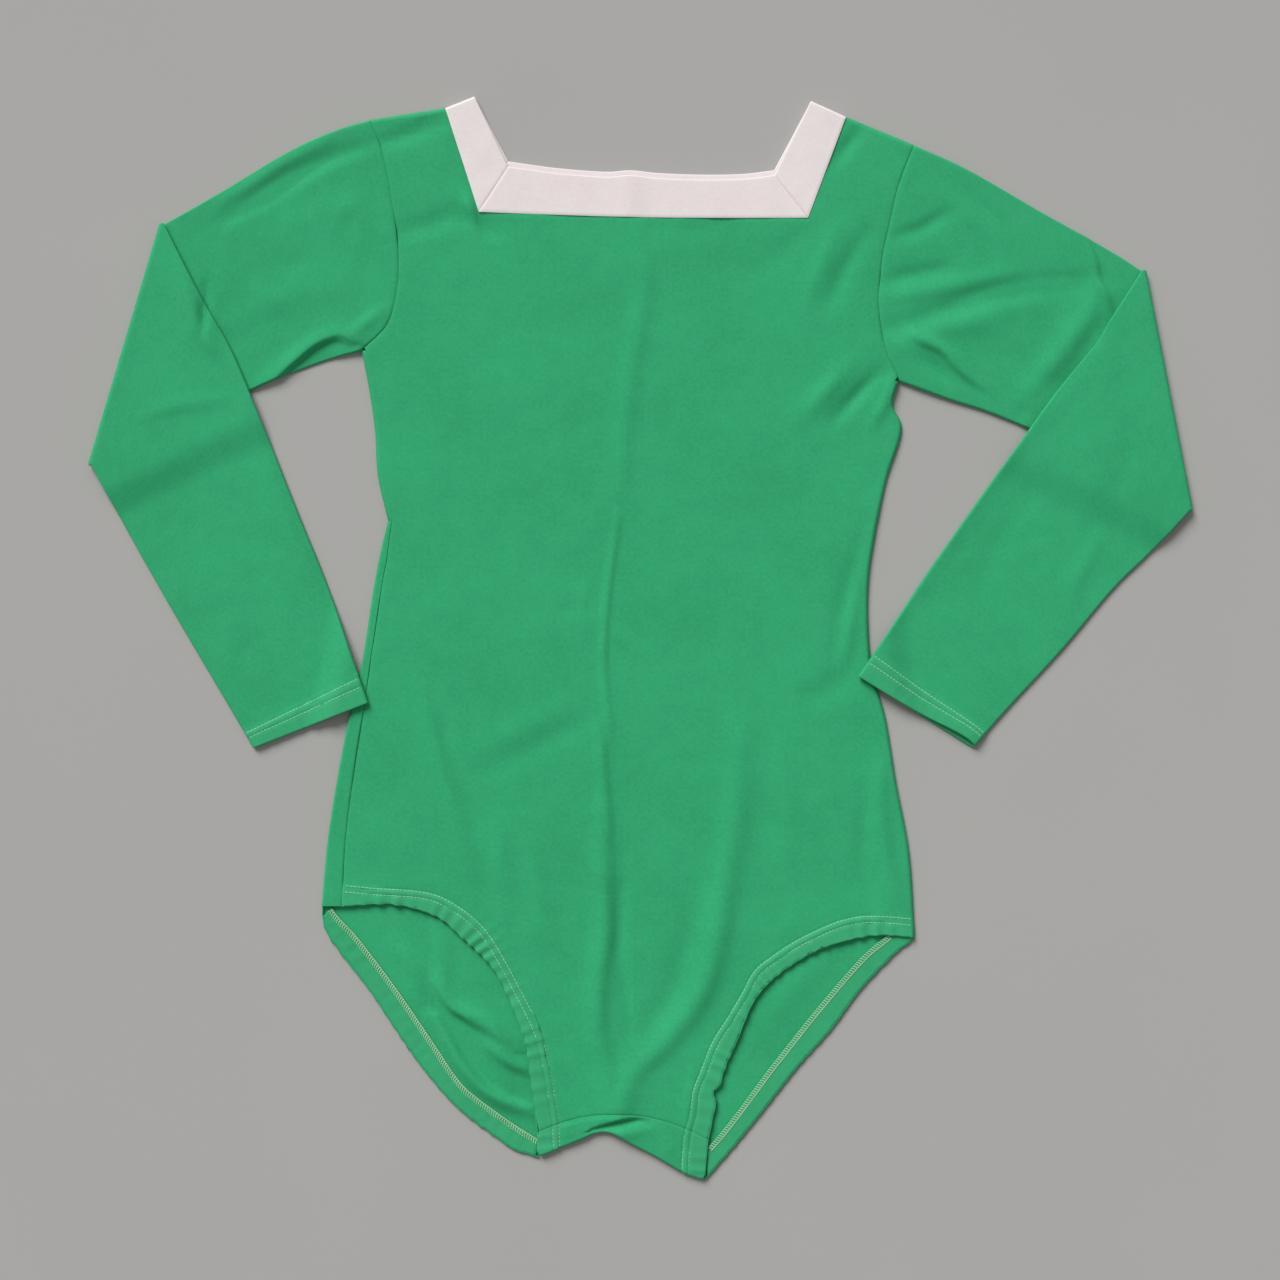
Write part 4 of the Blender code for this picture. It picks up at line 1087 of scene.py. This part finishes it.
def sewn_stitches(name, pairs, radius, material):
    """Short rounded stitches, each from one point to another, in one mesh."""
    pairs = np.array(pairs)
    start, end = pairs[:, 0], pairs[:, 1]
    run = end - start
    run /= np.linalg.norm(run, axis=1, keepdims=True)
    aside = np.cross(run, (0.0, 0.0, 1.0))
    aside /= np.linalg.norm(aside, axis=1, keepdims=True)
    up = np.cross(aside, run)
    sides, rings = 6, ((0.0, 0.35), (0.14, 0.9), (0.5, 1.0), (0.86, 0.9), (1.0, 0.35))
    turn = np.arange(sides) * 2 * math.pi / sides
    points = []
    for share, size in rings:
        centre = start + (end - start) * share
        for a in turn:
            points.append(centre + radius * size * (aside * math.cos(a) + up * math.sin(a)))
    points = np.stack(points, axis=1)
    faces = []
    for ring in range(len(rings) - 1):
        for k in range(sides):
            low, beyond = ring * sides, (k + 1) % sides
            faces.append([low + k, low + beyond, low + sides + beyond, low + sides + k])
    count = len(rings) * sides
    all_faces = []
    for k in range(len(points)):
        all_faces += [[k * count + c for c in face] for face in faces]
        all_faces.append([k * count + c for c in reversed(range(sides))])
        all_faces.append([k * count + count - sides + c for c in range(sides)])
    mesh = bpy.data.meshes.new(name)
    mesh.from_pydata((points.reshape(-1, 3) * METRES).tolist(), [], all_faces)
    mesh.materials.append(material)
    mesh.shade_smooth()
    piece = in_scene(name, mesh)
    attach(piece, "root")
    return piece


def faces_of(pieces):
    """A function that finds the height of these pieces' finished cloth at a point in plan."""
    graph = bpy.context.evaluated_depsgraph_get()
    corners, faces = [], []
    for piece in pieces:
        mesh = piece.evaluated_get(graph).to_mesh()
        first = len(corners)
        corners += [v.co.copy() for v in mesh.vertices]
        faces += [[first + k for k in face.vertices] for face in mesh.polygons]
    tree = BVHTree.FromPolygons(corners, faces)

    def level(place, from_above=True):
        start, way = (0.05, -1.0) if from_above else (-0.05, 1.0)
        origin = Vector((place[0] * METRES, place[1] * METRES, start))
        hit = tree.ray_cast(origin, Vector((0.0, 0.0, way)))[0]
        return None if hit is None else hit.z / METRES

    return level


def laid(starts, ends, level, lift, from_above=True):
    """The stitches between these points in plan that have cloth under both ends, raised by the lift."""
    pairs = []
    for a, b, raised in zip(starts, ends, np.broadcast_to(lift, len(starts))):
        heights = level(a, from_above), level(b, from_above)
        if None not in heights and abs(heights[0] - heights[1]) < LARGEST_STEP:
            pairs.append(((*a, heights[0] + raised), (*b, heights[1] + raised)))
    return pairs


def run_of_stitches(line, level, lift, from_above=True, sunk=0.0, pitch=2.6, gap=0.22):
    """Stitches laid end to end along a line in plan, some drawn deeper into the cloth than others.
    sunk is how much deeper the last ones lie than the first."""
    count = int(lengths_along(line)[-1] // pitch)
    starts = at_shares(line, np.arange(count) / count)
    ends = at_shares(line, (np.arange(count) + 1 - gap / pitch) / count)
    depth = 0.17 * unevenness(*starts.T, 9, 71) + 0.08 * unevenness(*starts.T, 3.1, 72)
    depth = depth if from_above else np.abs(depth)  # those on the table's side stay clear of it
    return laid(starts, ends, level, lift + depth - sunk * ease(np.arange(count) / count), from_above)


def make_casing_stitches(side, level, material):
    """The two rows of stitching along a leg casing, down to the crotch fold."""
    upper = spline(CASING_ROWS[side], 10)
    pairs = []
    for offset, lift in ((0.0, 0.0), (CASING_ROW_GAP, -0.1)):
        pairs += run_of_stitches(offset_line(upper, OUTWARD[side] * offset), level, lift, sunk=0.22)
    return sewn_stitches(f"casing_stitching_{WORDS[side]}", pairs, FINE_STITCH, material)


def make_serging(side, level, material):
    """The overlocked edge of the back's leg hem: slanting loops over the raw edge."""
    line = spline(SERGED_EDGES[side], 12)
    outer, inner = offset_line(line, 1.5), offset_line(line, -1.5)
    count = int(lengths_along(line)[-1] // 1.8)
    shares = np.arange(count) / count
    a, b = at_shares(outer, shares), at_shares(inner, shares + 0.6 / count)
    c, d = (at_shares(edge, np.minimum(shares + 1.0 / count, 1.0)) for edge in (inner, outer))
    lift = 0.06 + 0.14 * unevenness(*a.T, 8, 73)
    pairs = laid(a, b, level, lift) + laid(b, c, level, lift) + laid(a, d, level, lift)
    return sewn_stitches(f"overlocking_{WORDS[side]}", pairs, FINE_STITCH, material)


def make_cuff_stitches(side, rings, reached, level, material):
    """The cuff's two rows of stitching, round both layers of the sleeve."""
    total = reached[-1]
    first = len(rings) - len(reached)
    layer = len(rings[0]) // 2 - EDGE_STEPS
    pairs = []
    for distance in CUFF_ROWS:
        spot = first + np.interp(total - distance, reached, np.arange(len(reached)))
        low, share = int(spot), spot - int(spot)
        ring = rings[low] * (1 - share) + rings[min(low + 1, len(rings) - 1)] * share
        pairs += run_of_stitches(ring[layer + EDGE_STEPS : 2 * layer + EDGE_STEPS, :2], level, 0.06)
        pairs += run_of_stitches(ring[:layer, :2], level, 0.05, from_above=False)
    return sewn_stitches(f"cuff_stitching_{WORDS[side]}", pairs, STITCH, material)


def link(tree, node, **inputs):
    """Sets or links a node's inputs by name, or by number as i0, i1 and so on."""
    for key, value in inputs.items():
        numbered = key[0] == "i" and key[1:].isdigit()
        socket = node.inputs[int(key[1:]) if numbered else key.replace("_", " ")]
        if isinstance(value, bpy.types.NodeSocket):
            tree.links.new(value, socket)
        else:
            socket.default_value = value


def maths(tree, operation, a, b=0.0, c=0.0):
    node = tree.nodes.new("ShaderNodeMath")
    node.operation = operation
    link(tree, node, i0=a, i1=b, i2=c)
    return node.outputs[0]


def noise(tree, where, scale, detail=2.0):
    node = tree.nodes.new("ShaderNodeTexNoise")
    link(tree, node, Vector=where, Scale=scale, Detail=detail)
    return node.outputs["Fac"]


def blend_colours(tree, share, low, high):
    """A colour or a colour socket, mixed with another colour by this share."""
    node = tree.nodes.new("ShaderNodeMix")
    node.data_type = "RGBA"
    low = low if isinstance(low, bpy.types.NodeSocket) else (*low, 1.0)
    link(tree, node, i0=share, i6=low, i7=(*high, 1.0))
    return node.outputs[2]


def new_material(name):
    """A material with its node tree and its shader."""
    material = bpy.data.materials.new(name)
    material.use_nodes = True
    return material, material.node_tree, material.node_tree.nodes["Principled BSDF"]


def bumped(tree, height, strength, distance):
    bump = tree.nodes.new("ShaderNodeBump")
    link(tree, bump, Height=height, Strength=strength, Distance=distance)
    return bump.outputs["Normal"]


def knit_relief(tree, pitch):
    """Height of a plain knit, from 0 to 1: columns of small V-shaped stitches, one pitch wide."""
    place = tree.nodes.new("ShaderNodeUVMap")
    place.uv_map = "knit"
    parts = tree.nodes.new("ShaderNodeSeparateXYZ")
    link(tree, parts, Vector=place.outputs["UV"])
    across = maths(tree, "FRACT", maths(tree, "MULTIPLY", parts.outputs["X"], 1 / pitch))
    slant = maths(tree, "ABSOLUTE", maths(tree, "SUBTRACT", across, 0.5))
    row = maths(tree, "MULTIPLY", parts.outputs["Y"], 1 / (0.8 * pitch))
    phase = maths(tree, "MULTIPLY", maths(tree, "ADD", row, slant), 2 * math.pi)
    loops = maths(tree, "MULTIPLY_ADD", maths(tree, "SINE", phase), 0.25, 0.5)
    column = maths(tree, "SINE", maths(tree, "MULTIPLY", across, math.pi))
    return place.outputs["UV"], maths(tree, "ADD", maths(tree, "MULTIPLY", column, 0.5), loops)


def cloth_material(name, colours, hem_tint, pitch, sheen):
    """Knitted cloth: stitches and fuzz in its relief, two yarn shades, a lighter colour on the hems and a
    soft sheen. The yarn shades mix at random and by painted shade that follows the stitches, lighter on
    their raised loops and darker in the hollows between them.
    """
    material, tree, shader = new_material(name)
    where, stitches = knit_relief(tree, pitch)
    fuzz = noise(tree, where, 1500.0, 3.0)
    relief = maths(tree, "ADD", maths(tree, "MULTIPLY", stitches, 0.7), maths(tree, "MULTIPLY", fuzz, 0.6))
    normal = bumped(tree, relief, 0.45, 0.00022)
    # Painted shade: the colour follows the stitch relief, lighter on the raised loops and darker in the
    # hollows between them; the noises below add the random mix of yarn tones
    tone_and_relief_shade = maths(tree, "MULTIPLY", stitches, 0.2)
    for scale, weight in ((14.0, 0.35), (95.0, 0.2), (420.0, 0.45)):
        tone_and_relief_shade = maths(tree, "ADD", tone_and_relief_shade, maths(tree, "MULTIPLY", noise(tree, where, scale, 3.0), weight))
    tone_and_relief_shade = maths(tree, "MULTIPLY_ADD", tone_and_relief_shade, 2.0, -0.58)
    colour = blend_colours(tree, tone_and_relief_shade, *colours)
    # A lighter colour where the mesh marks the hems, patchy by noise
    tinted = tree.nodes.new("ShaderNodeAttribute")
    tinted.attribute_name = "hem_tint"
    share = maths(tree, "MULTIPLY", tinted.outputs["Fac"], maths(tree, "ADD", noise(tree, where, 60.0), 0.1))
    colour = blend_colours(tree, share, colour, hem_tint)
    link(tree, shader, Base_Color=colour, Normal=normal, Roughness=0.88)
    link(tree, shader, Sheen_Weight=sheen, Sheen_Roughness=0.4, Specular_IOR_Level=0.25)
    shader.inputs["Sheen Tint"].default_value = (*colours[1], 1.0)
    return material


def thread_material(name, colours):
    """Sewing thread, with the twist of its strands in the relief, and painted shade that makes the strands
    lighter on their crests and darker in the grooves, over a random mottle.
    """
    material, tree, shader = new_material(name)
    place = tree.nodes.new("ShaderNodeTexCoord")
    twist = tree.nodes.new("ShaderNodeTexWave")
    twist.bands_direction = "DIAGONAL"
    link(tree, twist, Vector=place.outputs["Object"], Scale=900.0, Distortion=1.5)
    normal = bumped(tree, twist.outputs["Fac"], 0.4, 0.0001)
    mottle = noise(tree, place.outputs["Object"], 90.0)
    # Painted shade: lighter on the crests of the twist and darker in its grooves, added to a random mottle
    tone_and_relief_shade = maths(tree, "ADD", maths(tree, "MULTIPLY", twist.outputs["Fac"], 0.4), mottle)
    colour = blend_colours(tree, tone_and_relief_shade, *colours)
    link(tree, shader, Base_Color=colour, Normal=normal, Roughness=0.55, Sheen_Weight=0.2)
    return material


def floor_material():
    material, tree, shader = new_material("plain_surface")
    place = tree.nodes.new("ShaderNodeTexCoord")
    mottle = noise(tree, place.outputs["Object"], 3.0, 5.0)
    link(tree, shader, Base_Color=blend_colours(tree, mottle, *FLOOR), Roughness=0.9)
    return material


def make_stage():
    """A plain surface under the garment, soft light and a camera straight above it."""
    mesh = bpy.data.meshes.new("table_surface")
    corners = [(x * FLOOR_REACH, y * FLOOR_REACH, -0.0002) for x, y in ((-1, -1), (1, -1), (1, 1), (-1, 1))]
    mesh.from_pydata(corners, [], [(0, 1, 2, 3)])
    mesh.materials.append(floor_material())
    in_scene("table_surface", mesh)
    world = bpy.data.worlds.new("studio")
    world.use_nodes = True
    link(world.node_tree, world.node_tree.nodes["Background"], Color=ROUND_LIGHT, Strength=ROUND_STRENGTH)
    bpy.context.scene.world = world
    light = bpy.data.lights.new("key_light", "SUN")
    light.angle, light.energy = math.radians(KEY_SOFTNESS), KEY_STRENGTH
    in_scene("key_light", light).rotation_euler = (-Vector(KEY_FROM)).to_track_quat("-Z", "Y").to_euler()
    camera = bpy.data.cameras.new("camera")
    height, seen = 1.5, 0.8704  # metres above the table, and across the photograph
    camera.sensor_width = 36.0
    camera.lens = camera.sensor_width * (height - 0.004) / seen
    eye = in_scene("camera", camera)
    eye.location = (-0.00034, -0.00102, height)
    bpy.context.scene.camera = eye
    bpy.context.scene.view_settings.view_transform = "Standard"


def declare_cloth(front, back, hems):
    """Works out the length along each hem strip, which nothing then uses."""
    for hem in hems:
        points = np.array([v.co for v in hem.data.vertices])
        length = lengths_along(points[: len(points) // HEM_ROWS])[-1]


def main():
    green = cloth_material("green_jersey_knit", GREEN, HEM_TINT, GREEN_STITCH, GREEN_SHEEN)
    hem_cloth = cloth_material("green_hem_knit", GREEN, HEM_TINT, GREEN_STITCH, GREEN_SHEEN)
    white = cloth_material("white_jersey_knit", WHITE, WHITE[1], WHITE_STITCH, WHITE_SHEEN)
    thread = thread_material("pale_green_thread", THREAD)
    serging = thread_material("overlock_thread", SERGING)
    front, front_edges, front_seam = make_front(green)
    back, back_edges = make_back(green)
    gusset = make_gusset(front_seam, green)
    hems = make_leg_hems(front_edges, back_edges, hem_cloth)
    bands = [
        make_cross_band("neck_band_front", 0, FRONT_LEVEL, 0.5, white),
        make_cross_band("neck_band_back", BACK_NECK_RISE, BAND_OUTSIDE, 0.0, white),
    ]
    front_face, back_face = faces_of([front, gusset]), faces_of([back, hems[1], hems[3]])
    for side, word in enumerate(WORDS):
        bands.append(make_strap(f"neck_band_{word}", side, white))
        sleeve, rings, reached = make_sleeve(side, green)
        make_casing_stitches(side, front_face, thread)
        make_serging(side, back_face, serging)
        make_cuff_stitches(side, rings, reached, faces_of([sleeve]), thread)
    make_stage()
    declare_cloth(front, back, hems)


main()
